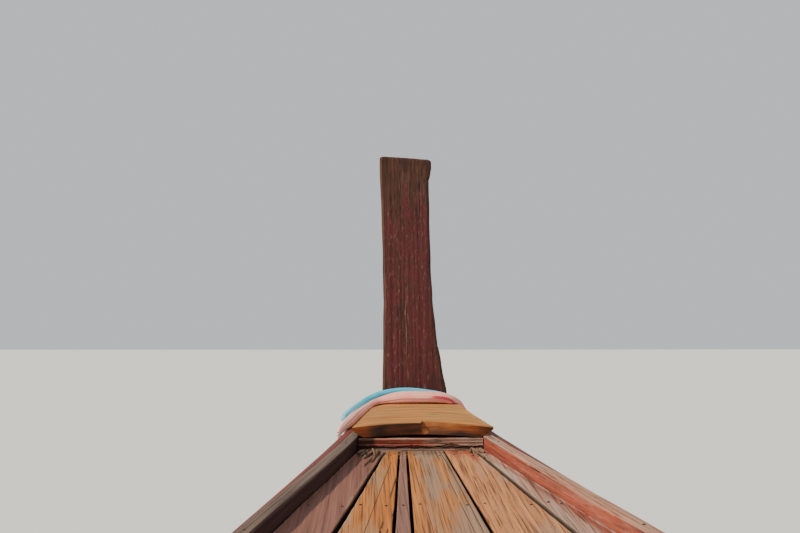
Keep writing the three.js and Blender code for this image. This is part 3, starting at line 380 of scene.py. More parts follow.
# Plain-woven cotton, dyed and faded in the sun: soft, matt, with its threads just showing.
def wovenCotton(name, fresh, faded, shade, threadMm, sheen):
    material, tree, shader = startMaterial(name, 0.92)
    place = addNode(tree, "UVMap", uv_map="cut")
    fine = 1000 / threadMm / 6.283  # so that one wave is two threads wide
    threads = [
        addNode(
            tree, "TexWave", {"Vector": place, "Scale": fine, "Distortion": 0.6, "Detail": 1.0}, "Fac",
            bands_direction=direction,
        )
        for direction in "XY"
    ]
    weave = addNode(tree, "Math", {0: threads[0], 1: threads[1]}, operation="MULTIPLY")
    cloud = addNode(tree, "TexNoise", {"Vector": place, "Scale": 9.0, "Detail": 5.0, "Roughness": 0.6})
    colour = addNode(tree, "ValToRGB", {0: cloud}, stops=[(0.35, fresh), (0.65, faded)])
    # paler where faded, and darker with the shade colour where marked: painted shade in the sashes' folds,
    # blotches on the canopy
    for mark, tint in (("bleach", "#f4e2d6"), ("fold", shade)):
        share = addNode(tree, "Attribute", None, "Fac", attribute_name=mark)
        colour = addNode(tree, "Mix", {0: share, 6: colour, 7: tint}, 2, data_type="RGBA")
    bump = addNode(tree, "Bump", {"Height": weave, "Strength": 0.25, "Distance": 0.0005})
    setInputs(shader, {"Base Color": colour, "Normal": bump, "Sheen Weight": sheen, "Sheen Roughness": 0.4})
    return material


deckPlank = {"longer": 60, "patchMm": 46.0, "patchLonger": 5, "fibreMm": 3.5, "bandMm": 14.0, "greyMost": 0.6}
deckPaint = {"wood": ("#96705c", "#5d4033"), "grey": "#8d7b6f", "cracks": 0.1, "checks": 0.25}
topsides = {
    "paint": ("#70342c", "#542420"), "cover": 0.84, "wood": ("#8d6b54", "#5a4233"), "grey": "#8c7c6c",
    "greying": 0.4, "cracks": 0.2, "patchMm": 160.0,
}
innerWood = {"grey": "#80776a", "cracks": 0.3}
canopyVarnish = {"wood": ("#9a6236", "#633a1f"), "greying": 0.15, "cracks": 0.2, "roughWood": 0.5}
finishes = {
    "stem": wornTimber(
        "stem, dark red paint on hardwood", grain="z", paint=("#5f1e1d", "#441716"), cover=0.64, longer=13,
        wood=("#583427", "#281611"), grey="#5f4438", greying=0.35, fade=(1.66, 2.10), patchLonger=4.5,
        patchMm=56.0, crackMm=40.0, cracks=0.3, checks=0.5, relief=0.0015, specks="#7d5546",
        scar=(-0.018, 1.05, 1.55), bandMm=18.0, fibreMm=4.0, flakeEdge=0.045,
    ),
    "railPort": wornTimber(
        "port rail, weathered hardwood", paint=("#4d322e", "#301d1b"), cover=0.3, edgeWear=0.3,
        wood=("#776359", "#423530"), grey="#70655d", greying=0.5, crackMm=30.0, cracks=0.4, checks=0.35,
    ),
    "railStarboard": wornTimber(
        "starboard rail, weathered hardwood", paint=("#a0513d", "#6e3028"), cover=0.5, edgeWear=0.3,
        wood=("#b58872", "#7d5646"), grey="#9a8a7c", greying=0.45, crackMm=22.0, cracks=0.7, seed=1.7,
        patchMm=34.0, patchLonger=7, flakeEdge=0.07, fibreMm=4.0, bandMm=14.0, longer=22,
    ),
    "marginPort": wornTimber(
        "port margin board, thin red-brown paint", paint=("#87594c", "#5f3e34"), cover=0.85, greying=0.35,
        seed=2.3, **deckPaint,
    ),
    "plankPort": wornTimber(
        "port deck plank, varnish worn to the wood", wood=("#bf7537", "#6b4023"), grey="#8c7d66",
        greying=0.6, cracks=0.95, crackMm=45.0, slant=-9.0, crackWidth=0.02, checks=0.3, seed=5.1,
        **deckPlank,
    ),
    "strip": wornTimber(
        "deck strip, mauve-brown paint", paint=("#8f675a", "#6b493f"), cover=0.9, seed=8.4, **deckPaint,
    ),
    "plankMiddle": wornTimber(
        "middle deck plank, varnish worn to the wood", wood=("#bf7a40", "#64402a"), grey="#83776a",
        greying=0.75, cracks=0.9, crackMm=32.0, slant=2.5, crackWidth=0.02, seed=11.7,
        **{**deckPlank, "greyMost": 0.65},
    ),
    "plankStarboard": wornTimber(
        "starboard deck plank, varnish and some red paint", wood=("#c58659", "#784a2f"), grey="#928472",
        greying=0.5, paint=("#b05c40", "#87402e"), cover=0.3, cracks=0.7, crackMm=30.0, slant=3.0,
        checks=0.5, seed=15.6, **{**deckPlank, "longer": 40},
    ),
    "marginStarboard": wornTimber(
        "starboard margin board, pinkish red paint", paint=("#8c4636", "#5c2b22"), cover=0.5, longer=60,
        wood=("#ab806c", "#704d3f"), grey="#ae998b", greying=0.7, checks=0.5, seed=17.9, patchMm=40.0,
        patchLonger=18, flakeEdge=0.06, crackMm=40.0, slant=10.0,
    ),
    "bowBeam": wornTimber(
        "bow beam, broken wood and old red paint", grain="x", paint=("#a34c3a", "#74342a"), cover=0.45,
        wood=("#bd9480", "#6b4e40"), grey="#a8917f", greying=0.5, cracks=0.6, crackMm=30.0, longer=16,
        patchMm=34.0, checks=0.6, seed=21.3, flakeEdge=0.06,
    ),
    "brokenWood": wornTimber(
        "broken plank ends, raw hardwood", wood=("#8f7058", "#3f2e22"), grey="#847264", greying=0.4,
        crackMm=12.0, patchMm=25.0, longer=9, checks=0.9, seed=23.0, fibreMm=3.0, bandMm=9.0,
    ),
    "bowBoard": wornTimber(
        "bow board, stained hardwood, shade painted on its rear face", grain="x", wood=("#c58648", "#80522a"), grey="#968355", greying=0.5,
        greyMost=0.6, patchMm=36.0, patchLonger=4, paint=("#a04d18", "#662a08"), cover=0.5, flakeEdge=0.16,
        cracks=0.3, crackMm=60.0, checks=0.35, seed=25.0, relief=0.001, longer=40,
    ),
    "hullPaint": wornTimber("topsides, faded red paint", seed=30.0, **topsides),
    "transomPaint": wornTimber("transom, faded red paint", grain="x", seed=31.0, **topsides),
    "hullOil": wornTimber(
        "planking, oiled hardwood", wood=("#7d5330", "#4c301b"), grey="#75695c", greying=0.2, cracks=0.2,
        seed=33.0, bandMm=40.0,
    ),
    "inner": wornTimber(
        "frames and floor, bare sawn hardwood", wood=("#8f7252", "#5d4630"), greying=0.45, seed=37.0,
        **innerWood,
    ),
    "innerAcross": wornTimber(
        "frames across the boat, bare sawn hardwood", grain="x", wood=("#8a6c4c", "#58422d"), greying=0.4,
        seed=41.0, **innerWood,
    ),
    "bench": wornTimber(
        "bench, worn blue-green paint", grain="x", paint=("#3f7480", "#2c5662"), cover=0.82,
        wood=("#9a7c5a", "#654a33"), greying=0.4, cracks=0.2, seed=45.0, patchMm=120.0,
    ),
    "canopyWood": wornTimber("canopy frame, varnished hardwood", seed=49.0, **canopyVarnish),
    "canopyAcross": wornTimber("canopy bows, varnished hardwood", grain="x", seed=53.0, **canopyVarnish),
    "steel": rustedPaint("mount and tail, grey machine paint on mild steel"),
    "engine": rustedPaint(
        "engine block, grey-blue paint on cast iron", paint=("#5b6a72", "#434f56"), rusting=0.2, seed=4.0,
        roughness=0.45,
    ),
    "cradle": rustedPaint(
        "cradle, red lead paint on angle steel", paint=("#7a4030", "#5a2f25"), rusting=0.55, seed=8.0,
        roughness=0.65,
    ),
    "exhaust": rustedPaint(
        "exhaust, burnt mild steel", paint=("#5a4a40", "#3d332d"), rusting=0.85, seed=12.0, roughness=0.8,
    ),
    "castAluminium": dullMetal("cylinder head, cast aluminium", "#92918c", "#74726d", 0.5, 3.0),
    "bronze": dullMetal("propeller, cast bronze", "#b08a4a", "#6b5230", 0.36, 16.0),
    "fastening": dullMetal("nail heads, rusted steel", "#6a564a", "#38281f", 0.6, 3.0),
    "rubber": dustyRubber("belt and grip, moulded rubber"),
    # canvas threads are under 1 mm, drawn at 3 mm so that they show
    "canopyCotton": wovenCotton("canopy, woven cotton canvas", "#c8c1ad", "#d8d2c2", "#8f8875", 3.0, 0.2),
    "thread": wovenCotton("hem stitching, waxed thread", "#8d8268", "#a39a80", "#5f573f", 0.6, 0.1),
    "blueCotton": wovenCotton("blue sash, thin cotton", "#18b6dc", "#4fd0ea", "#146f8d", 1.6, 0.25),
    "pinkCotton": wovenCotton("pink sash, thin cotton", "#f69988", "#fbb3a4", "#c2344c", 1.6, 0.25),
}
print("materials:", len(finishes))


# Pieces

solids = {
    "merge": 0.0002,  # metres within which a CAD node's points are one
    "flat": 0.6,  # degrees under which its faces are one
    "sharp": 35,  # degrees from which an edge is sharp, and is worn down
    "ribWide": 0.06,  # ribs are 44 mm wide, so a face longer than this is along a timber
}
# how long the grain's marks are, and how many lumps of each size there are in a metre
grainSizes = {"along": 0.012, "fine": 160, "ridge": 55, "broad": 9}


def clamp(value):
    return min(1.0, max(0.0, value))


def fades(away, reach):  # 1 at no distance, and 0 past the reach
    return max(0.0, 1 - away / reach)


def spread(low, high, step):
    count = max(1, round((high - low) / step))
    return [low + (high - low) * i / count for i in range(count + 1)]


def between(rows, at, column):  # a table's value between its rows
    for low, high in zip(rows, rows[1:]):
        if at <= high[0]:
            share = (at - low[0]) / (high[0] - low[0])
            return low[column] + share * (high[column] - low[column])
    return rows[-1][column]


def keepMarks(piece, **marks):  # how worn and bleached each point is, and how much dirt, painted shade or blotching darkens it
    for mark, values in marks.items():
        piece.data.attributes.new(mark, "FLOAT", "POINT").data.foreach_set("value", values)


def keepCut(piece, cut):  # each point's place on the flat cloth
    uv = piece.data.uv_layers.new(name="cut")
    for loop in piece.data.loops:
        uv.data[loop.index].uv = cut[loop.vertex_index]


def layGrain(piece, laid):  # keeps, for each point, its place on the timber as it was before it was bent
    kept = piece.data.attributes.new("laid", "FLOAT_VECTOR", "POINT")
    kept.data.foreach_set("vector", [c for v in piece.data.vertices for c in laid(v.co)])


def layFrames(piece, ribs):  # each rib's grain runs along it, and a long timber's along the boat
    mesh = piece.data
    places = []
    for face in mesh.polygons:
        points = [mesh.vertices[i].co for i in face.vertices]
        runs = [p.y for p in points]
        order = (1, 0, 2) if max(runs) - min(runs) > solids["ribWide"] else ribs
        places += [p[axis] for p in points for axis in order]
    mesh.attributes.new("laid", "FLOAT_VECTOR", "CORNER").data.foreach_set("vector", places)


def dress(piece, finish, body, slot, angle=solids["sharp"]):  # a piece's looks and body
    mesh = piece.data
    if "laid" not in mesh.attributes:
        layGrain(piece, lambda at: at)
    mesh.materials.clear()
    mesh.materials.append(finishes[finish])
    mesh.shade_smooth()
    mesh.set_sharp_from_angle(angle=math.radians(angle))
    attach(piece, body)
    return piece


def finishPiece(piece, finish, node, angle=solids["sharp"]):  # the same, standing for a CAD node
    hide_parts(node)
    return dress(piece, finish, bodyOf[node], slotOf[node], angle)


def settle(piece):  # turns a piece's modifiers into its mesh
    evaluated = piece.evaluated_get(bpy.context.evaluated_depsgraph_get())
    mesh = bpy.data.meshes.new_from_object(evaluated)
    piece.modifiers.clear()
    old = piece.data
    piece.data = mesh
    mesh.name = piece.name
    bpy.data.meshes.remove(old)


def mergedCopy(node):  # a CAD node's faces, joined up and with its flat faces whole
    bm = bmesh.new()
    bm.from_mesh(nodes[node].data)
    bmesh.ops.remove_doubles(bm, verts=bm.verts, dist=solids["merge"])
    bmesh.ops.dissolve_limit(
        bm, angle_limit=math.radians(solids["flat"]), verts=bm.verts, edges=bm.edges,
    )
    return bm


def plane(node, finish, edge, laid=None, ribs=None):  # a timber or casting, its sharp edges taken off
    bm = mergedCopy(node)
    piece = addPiece(node + "_worn")
    bm.to_mesh(piece.data)
    bm.free()
    bevel = piece.modifiers.new("worn edges", "BEVEL")
    bevel.width = edge
    bevel.segments = 2
    bevel.limit_method = "ANGLE"
    bevel.angle_limit = math.radians(solids["sharp"])
    bevel.use_clamp_overlap = True
    settle(piece)
    if laid:
        layGrain(piece, laid)
    elif ribs:
        layFrames(piece, ribs)
    finishPiece(piece, finish, node)


def stepsTo(start, end, count):  # evenly spaced points from a corner towards the next
    return [tuple(a + k / count * (b - a) for a, b in zip(start, end)) for k in range(count)]


def outlineOf(left, right, low, high, radius, across, down):  # a worn rectangle, point by point
    round3 = [(1 - math.cos(a), 1 - math.sin(a)) for a in (0.0, math.pi / 4, math.pi / 2)]
    corners = [
        [(left + radius * u, high - radius * v) for u, v in round3],
        [(right - radius * v, high - radius * u) for u, v in round3],
        [(right - radius * u, low + radius * v) for u, v in round3],
        [(left + radius * v, low + radius * u) for u, v in round3],
    ]
    points = []
    for i, corner in enumerate(corners):
        points += corner[:-1] + stepsTo(corner[-1], corners[(i + 1) % 4][0], down if i % 2 else across)
    return points


def skinFaces(rings, count, closed=False):  # the faces between rings of count points, and the two ends
    faces = []
    for i in range(rings if closed else rings - 1):
        a, b = i * count, (i + 1) % rings * count
        for k in range(count):
            n = (k + 1) % count
            faces.append((a + k, a + n, b + n, b + k))
    if not closed:
        faces += [tuple(range(count))[::-1], tuple(range((rings - 1) * count, rings * count))]
    return faces


def closedPiece(name, points, faces):  # a piece whose faces all point outwards
    piece = addPiece(name, points, faces)
    bm = bmesh.new()
    bm.from_mesh(piece.data)
    bmesh.ops.recalc_face_normals(bm, faces=bm.faces)
    bm.to_mesh(piece.data)
    bm.free()
    return piece


def loftPiece(name, rings, wearing):  # a closed skin over rings of points, with its wear kept
    piece = closedPiece(name, [p for ring in rings for p in ring], skinFaces(len(rings), len(rings[0])))
    keepMarks(piece, wear=wearing)
    return piece


def boardPiece(name, stations, section, place, worn, corner, across, down, wearWidth):
    # a board through these stations: its edges are worn, and worn(s, a, b) says how much more or less
    rings, wearing = [], []
    for s in stations:
        left, right, low, high = section(s)
        ring = outlineOf(left, right, low, high, corner, across, down)
        rings.append([place(s, a, b) for a, b in ring])
        for a, b in ring:
            toEdge = min(a - left, right - a) + min(b - low, high - b)
            more = worn(s, (a - left) / (right - left), (b - low) / (high - low))
            wearing.append(fades(toEdge, wearWidth) + more)
    return loftPiece(name, rings, wearing)


def weather(piece, grain, groove, hollow, seed):  # raises the grain and lets the faces go uneven
    mesh = piece.data
    squeeze = Vector([grainSizes["along"] if axis == grain else 1.0 for axis in "xyz"])
    moves = []
    for vertex, laid in zip(mesh.vertices, mesh.attributes["laid"].data):
        at = laid.vector * squeeze
        fine = noise.noise(at * grainSizes["fine"] + Vector((seed, 0, 0)))
        ridge = 1 - min(1, abs(noise.noise(at * grainSizes["ridge"] + Vector((0, seed, 0)))) * 5)
        broad = noise.noise(vertex.co * grainSizes["broad"] + Vector((0, 0, seed)))
        moves.append(vertex.normal * (groove * (fine * 0.5 - ridge * 0.9) + hollow * (broad - 0.6)))
    for vertex, move in zip(mesh.vertices, moves):
        vertex.co += move


def finishBoard(piece, node, finish, laid, **weathering):
    layGrain(piece, laid)
    weather(piece, **weathering)
    finishPiece(piece, finish, node)


railPlan = {
    # place along the boat, outer half-breadth and height of the rail's top
    "rows": [
        (-4.9, 0.6, 0.672), (-4.5, 0.6427, 0.6405), (-4.0, 0.6975, 0.5998), (-3.5, 0.7485, 0.5629),
        (-3.0, 0.7908, 0.5349), (-2.5, 0.8264, 0.5138), (-2.0, 0.8557, 0.499), (-1.5, 0.8783, 0.4908),
        (-1.0, 0.8941, 0.4897), (-0.5, 0.9032, 0.4956), (0.0, 0.9041, 0.5087), (0.5, 0.8954, 0.5294),
        (1.0, 0.8762, 0.5604), (1.5, 0.84, 0.6), (1.9, 0.7939, 0.6392), (2.25, 0.741, 0.6781),
        (2.6, 0.6761, 0.7179), (2.9, 0.6079, 0.7538), (3.15, 0.5428, 0.7845), (3.4, 0.4696, 0.8159),
        (3.7, 0.3804, 0.8543), (3.83, 0.3406, 0.871), (3.96, 0.301, 0.8879), (4.1, 0.2594, 0.9063),
        (4.24, 0.22, 0.925), (4.37, 0.1867, 0.9429), (4.5, 0.1557, 0.9611), (4.61, 0.1294, 0.9766),
    ],
    "wide": 0.034,
    "deep": 0.076,
    "coarse": (-4.9, 2.2, 0.08),  # the stations' first and last place and step, out of the picture
    "fine": (2.2, 4.61, 0.012),
    "paint": {"port": 0.9, "starboard": 0.15},  # how much the faces keep
    "shaded": 3.7,  # forward of this they keep more
}


def railHalf(y):
    return between(railPlan["rows"], y, 1)


def railInside(y):
    return railHalf(y) - railPlan["wide"]


def railTop(y):
    return between(railPlan["rows"], y, 2)


def shapeRails():
    stations = spread(*railPlan["coarse"])[:-1] + spread(*railPlan["fine"])

    def section(y):
        return (railInside(y), railHalf(y), railTop(y) - railPlan["deep"], railTop(y))

    def alongRail(at):
        return (abs(at.x) - railHalf(at.y), at.y, at.z - railTop(at.y))

    for side, sign in sides.items():
        def place(y, a, b):
            return Vector((sign * a, y, b))

        def worn(y, a, b):  # the sun takes the paint off the top, and most at the outer edge
            if b > 0.94:
                return 0.15 + 0.9 * a
            return -railPlan["paint"][side] - 0.5 * max(0.0, y - railPlan["shaded"])

        name = "rail_" + side
        rail = boardPiece(
            name + "_worn", stations, section, place, worn, corner=0.005, across=9, down=12, wearWidth=0.012,
        )
        finishBoard(
            rail, name, "rail" + side.capitalize(), alongRail, grain="y", groove=0.001, hollow=0.0016,
            seed=3.0 * sign,
        )


shapeRails()
print("rails")

foredeck = {
    "aft": 2.75,
    "front": 4.206,
    "drop": 0.040,
    "thick": 0.024,
    "step": 0.009,
    "clear": 0.0002,
    "besideRail": 0.001,
    "from": 3.632,  # where the seams' half-breadths are taken
    # place across, its change per metre, width of the gap at the bow and how it widens per metre
    "seams": [
        (-0.231, 0.213, 0.006, 0.011), (-0.105, 0.0665, 0.004, 0.0025), (-0.064, 0.035, 0.004, 0.004),
        (0.1055, -0.062, 0.005, 0.008), (0.278, -0.2, 0.008, 0.003),
    ],
    "widest": 0.014,
    "boards": {
        "deck_margin_port": "marginPort", "deck_plank_port": "plankPort", "deck_strip": "strip",
        "deck_plank_middle": "plankMiddle", "deck_plank_starboard": "plankStarboard",
        "deck_margin_starboard": "marginStarboard",
    },
    "ragged": 0.012,
    "eaten": (0.004, 0.08),  # how deep the ends are eaten away on top, and how far back
    "weathered": 0.10,  # how far back the ends are worn and bleached
    "sheltered": {"plankMiddle": 1, "plankStarboard": 1, "plankPort": -1},  # this edge is less bleached
    "shelter": 0.034,
    "paleEdge": 0.007,  # how far in the edges are bleached
    "seamShadeAndGrime": (0.97, 0.3),  # how dark the shade painted down the boards' sides in the seams is, and how dark the broken ends are
    "tar": (0.8, 0.004),  # how dark and wide, in the starboard seam
    "paleAt": (4.0, 0.09),  # a pale patch on the starboard margin board: its place and half its length
}


def deckTop(y):
    return railTop(y) - foredeck["drop"]


def seamAt(i, y, side=0):
    at, fan, gap, grows = foredeck["seams"][i]
    wide = min(foredeck["widest"], gap + grows * (foredeck["front"] - y))
    return at + fan * (y - foredeck["from"]) + side * wide / 2


def layForedeck():
    front, last = foredeck["front"], len(foredeck["boards"]) - 1
    deep, back = foredeck["eaten"]
    seamShade, atEnds = foredeck["seamShadeAndGrime"]
    tar, tarWide = foredeck["tar"]
    for i, (node, finish) in enumerate(foredeck["boards"].items()):
        def section(y):
            inside = railInside(y) - foredeck["besideRail"]
            left = seamAt(i - 1, y, 1) if i else -inside
            right = seamAt(i, y, -1) if i < last else inside
            clear = foredeck["clear"]
            return (left + clear, right - clear, deckTop(y) - foredeck["thick"], deckTop(y))

        def place(y, a, b):  # the ends are broken, and eaten away on top
            end = (y - foredeck["aft"]) / (front - foredeck["aft"])
            teeth = abs(noise.noise((a * 24, 3.0 + i, 0)) + 0.4 * noise.noise((a * 80, 9, i))) * 2
            chew = foredeck["ragged"] * (0.2 + 0.8 * teeth) * max(0.0, end * 30 - 29)
            eaten = deep * fades(front - y, back) * (0.3 + teeth)
            return Vector((a, y - chew, b - (eaten if b > deckTop(y) - 0.01 else 0.0)))

        def worn(y, a, b):
            if finish == "marginStarboard":  # bare along the seam, red beside the rail
                return 1.1 - 1.6 * a
            if finish == "plankStarboard":  # some red paint is left towards the bow
                return 1.3 - 1.9 * fades(front - y, 0.35)
            return 0.6 * fades(front - y, foredeck["weathered"])

        stations = spread(foredeck["aft"], front, foredeck["step"])
        across = 44 if "plank" in node or "margin" in node else 12
        board = boardPiece(
            node + "_worn", stations, section, place, worn, corner=0.003, across=across, down=3,
            wearWidth=0.014,
        )
        side = foredeck["sheltered"].get(finish, 0)
        bleached, dirty = [], []
        for x, y, z in (v.co for v in board.data.vertices):
            left, right, _, top = section(y)
            fresh = 0.0
            if side:
                inside = x - left if side > 0 else right - x
                fresh = fades(inside, foredeck["shelter"] + 0.02 * noise.noise((y * 14, i, 0)))
            edge = fades(min(x - left, right - x), foredeck["paleEdge"])
            bleach = 0.5 * max(fades(front - y, foredeck["weathered"]), edge) - fresh
            if finish == "marginStarboard":
                at, half = foredeck["paleAt"]
                bleach = max(bleach, 1.2 - ((y - at) / half) ** 2 - 2 * (x - left) / (right - left))
            bleached.append(bleach)
            # painted shade down the boards' sides in the seams, darker wood at the broken ends, and the tar
            # in the starboard seam
            seamShadeAndGrime = seamShade * clamp((top - z - 0.004) / 0.003) if y < front - 0.04 else atEnds
            tarred = {"plankStarboard": right - x, "marginStarboard": x - left}.get(finish, 1.0)
            dirty.append(max(seamShadeAndGrime, tar * fades(tarred, tarWide)))
        keepMarks(board, bleach=bleached, dirt=dirty)
        finishBoard(
            board, node, finish, lambda at: (at.x, at.y, at.z - deckTop(at.y)),
            grain="y", groove=0.0011, hollow=0.001, seed=1.0 + i,
        )


layForedeck()
print("foredeck")

bowBeam = {
    "rear": 4.210,
    "front": 4.262,
    "step": 0.003,
    "besideRails": (0.0012, 0.0015),  # in front, where the rails draw in, and at the rear
    "below": 0.030,
    "under": 0.006,
    "chipped": 0.006,
    "split": 0.007,  # how far the rear face's lower half is split away
    "corner": (-0.136, 0.012, 0.85),  # where the painted shadow in the port corner begins, how far on it is full, and how dark it is
    "gap": (0.005, 0.0032),  # the painted shade in the gap: its place above the deck's top, and half its height
}


def fitBowBeam():
    rear = bowBeam["rear"]
    ahead, behind = bowBeam["besideRails"]
    rows = sorted((half - railPlan["wide"] - ahead, y) for y, half, _ in railPlan["rows"] if y > 4.0)
    reach = railInside(rear) - behind

    def section(x):
        ragged = bowBeam["chipped"] * abs(noise.noise((x * 22, 1, 5)))
        front = min(bowBeam["front"], between(rows, abs(x), 1))
        high = railTop(rear) - bowBeam["under"] - ragged * 0.4
        return (rear + ragged * 0.3, max(front, rear + 0.006), deckTop(rear) - bowBeam["below"], high)

    def place(x, a, b):
        split = 0 < b - deckTop(rear) < 0.010 + 0.006 * noise.noise((x * 16, 4, 1)) and a < rear + 0.008
        return Vector((x, a + (bowBeam["split"] if split else 0.0), b))

    def worn(x, a, b):  # paint is left on the upper face, port and middle
        return 2.2 * max(0.0, 0.62 - b) / 0.2 - 0.5 + 0.9 * max(0.0, x * 8)

    beam = boardPiece(
        "bow_beam_worn", spread(-reach, reach, bowBeam["step"]), section, place, worn,
        corner=0.003, across=8, down=40, wearWidth=0.008,
    )
    start, ramp, most = bowBeam["corner"]
    above, half = bowBeam["gap"]
    # painted shadow in the port corner, and painted shade in the gap low on the rear face
    dirty = []
    for x, y, z in (v.co for v in beam.data.vertices):
        corner = min(most, max(0.0, (start - x) / ramp))
        gap = deckTop(rear) + above + 0.0035 * noise.noise((x * 30, 8, 2))
        under = fades(abs(z - gap), half) if y < rear + 0.01 else 0.0
        dirty.append(max(corner, min(0.95, 2 * under)))
    keepMarks(beam, dirt=dirty)
    finishBoard(
        beam, "bow_beam", "bowBeam", lambda at: at, grain="x", groove=0.002, hollow=0.002, seed=6.0,
    )


fitBowBeam()

# What is left of the plank ends in the deck's two forward corners: raw splinters, as (across, forward,
# length, width, height, turn in degrees off the keel line)
splinters = {
    "port": [
        (-0.150, 4.135, 0.150, 0.007, 0.007, -17), (-0.140, 4.150, 0.120, 0.006, 0.008, -12),
        (-0.160, 4.165, 0.090, 0.009, 0.010, -22), (-0.134, 4.178, 0.060, 0.006, 0.009, -5),
        (-0.170, 4.180, 0.060, 0.008, 0.010, -30), (-0.146, 4.190, 0.040, 0.007, 0.014, 12),
        (-0.158, 4.110, 0.110, 0.005, 0.004, -15), (-0.180, 4.192, 0.040, 0.009, 0.010, -42),
    ],
    "starboard": [
        (0.163, 4.184, 0.050, 0.012, 0.014, 22), (0.152, 4.192, 0.034, 0.009, 0.011, -24),
        (0.172, 4.165, 0.080, 0.006, 0.007, 14), (0.180, 4.190, 0.034, 0.009, 0.014, 36),
        (0.158, 4.170, 0.070, 0.005, 0.006, 8),
    ],
}


def layPlankEnds():
    lengths, around = 9, 8
    for side, rows in splinters.items():
        points, faces = [], []
        for n, (x, y, length, width, height, turn) in enumerate(rows):
            spin = Matrix.Rotation(math.radians(turn), 3, "Z")
            faces += [tuple(len(points) + i for i in face) for face in skinFaces(lengths, around)]
            for i in range(lengths):
                t = i / (lengths - 1)
                full = math.sin(math.pi * (0.12 + 0.76 * t)) ** 0.6
                for k in range(around):
                    angle = math.tau * k / around
                    rough = 1 + 0.45 * noise.noise((n * 3.1, i * 0.8, k * 1.3))
                    local = spin @ Vector((
                        math.cos(angle) * width / 2 * full * rough, (t - 0.5) * length,
                        max(-0.25, math.sin(angle)) * height * 0.6 * full * rough,
                    ))
                    points.append((x + local.x, y + local.y, deckTop(y + local.y) + local.z))
        piece = closedPiece("plank_splinters_" + side, points, faces)
        dress(piece, "brokenWood", "hull", "deck_orange", 30)


layPlankEnds()

bowBoard = {
    "rear": 4.213,
    "front": 4.600,
    "thick": 0.041,
    "thins": 0.28,  # share of its thickness lost per metre forward
    "crown": 0.013,  # how far its ends lie below its middle
    "half": 0.21,
    "step": 0.004,
    "insets": (0.016, 0.001),  # how far its port and starboard edges stand in from the rails'
    "cornerCut": (0.172, 0.100),  # its lower port corner is cut away: from here outwards, over this length
    "cornerSeat": (0.186, 0.0125, 0.206),  # starboard it is let in from here by this, and cut from here
    # the rear edge's starboard half has split off along a slope: across, how far in the slope starts
    "split": [
        (0.0, 0.0), (0.001, 0.0), (0.006, 0.018), (0.06, 0.014), (0.13, 0.008), (0.18, 0.0), (0.3, 0.0),
    ],
    "stainAndShade": (-3.0, -1.5, 4.5),  # the dark stain, which also stands in for the rear face's shade: on the rear face, on its upper edge, and per metre across the split
}


def fitBowBoard():
    rear = bowBoard["rear"]
    rows = sorted((half, y) for y, half, _ in railPlan["rows"] if y > 4.0)
    portIn, starboardIn = bowBoard["insets"]

    def section(x):
        out = -x + portIn if x < 0 else x + starboardIn
        front = min(bowBoard["front"], between(rows, max(out, rows[0][0]), 1))
        back = rear + 0.0015 * noise.noise((x * 25, 0, 2))
        return (back, max(front, back + 0.012), 0.0, bowBoard["thick"])

    def crown(x):
        return bowBoard["crown"] * (x / bowBoard["half"]) ** 2

    def place(x, a, b):
        if x > 0:  # the split's slope
            slope = between(bowBoard["split"], x, 1)
            a += fades(a - rear, 0.05) * slope * clamp((b / bowBoard["thick"] - 0.12) / 0.8)
        cornerFrom, cornerLong = bowBoard["cornerCut"]
        seatFrom, seat, seatTo = bowBoard["cornerSeat"]
        cut = min(0.026, max(0.0, -x - cornerFrom) * 0.8)
        if x > 0:
            cut = seat * min(1.0, max(0.0, x - seatFrom) / 0.006) + 1.1 * max(0.0, x - seatTo)
        cut *= min(1.0, 2 * fades(a - rear, cornerLong))
        b = max(b, cut) * (1 - bowBoard["thins"] * (a - rear))
        return Vector((x, a, railTop(a) + b - crown(x)))

    def worn(x, a, b):  # the rear face keeps the dark stain, which also stands in for its shade, and the top has none but for some patches in front
        face, edge, across = bowBoard["stainAndShade"]
        if a > 0.06 or b > 0.96:
            return 0.7 if a > 0.5 and -0.13 < x < 0.10 else 1.0
        if x > 0.007 and b > 0.10:
            return -across * x
        return face if b < 0.9 else edge

    stations = spread(portIn - railHalf(rear), railHalf(rear) - starboardIn, bowBoard["step"])
    board = boardPiece(
        "bow_board_worn", stations, section, place, worn, corner=0.004, across=70, down=14, wearWidth=0.006,
    )
    dirty = []
    for x, y, z in (v.co for v in board.data.vertices):  # painted shade on the rear face's port half and along its foot, with some random spots
        up = (z - railTop(y) + crown(x)) / bowBoard["thick"]
        half = 0.82 if x < 0.003 else 0.45 * max(0.0, (x - 0.10) / 0.08)
        half *= min(1.0, max(0.25, (x + 0.21) / 0.06))
        foot = 0.9 * min(1.0, 1.6 * fades(up, 0.62 if x > 0.02 else 0.3))
        spots = 0.25 * noise.noise((x * 20, up * 3, 6))
        behind = y < rear + 0.025 and up < 0.93
        dirty.append(min(0.95, max(0.0, max(half, foot) + spots)) if behind else 0.0)
    keepMarks(board, dirt=dirty)
    finishBoard(
        board, "bow_board", "bowBoard", lambda at: (at.x, at.y, at.z - railTop(at.y) + crown(at.x)),
        grain="x", groove=0.0011, hollow=0.0014, seed=9.0,
    )


fitBowBoard()
print("bow beam, plank ends and bow board")

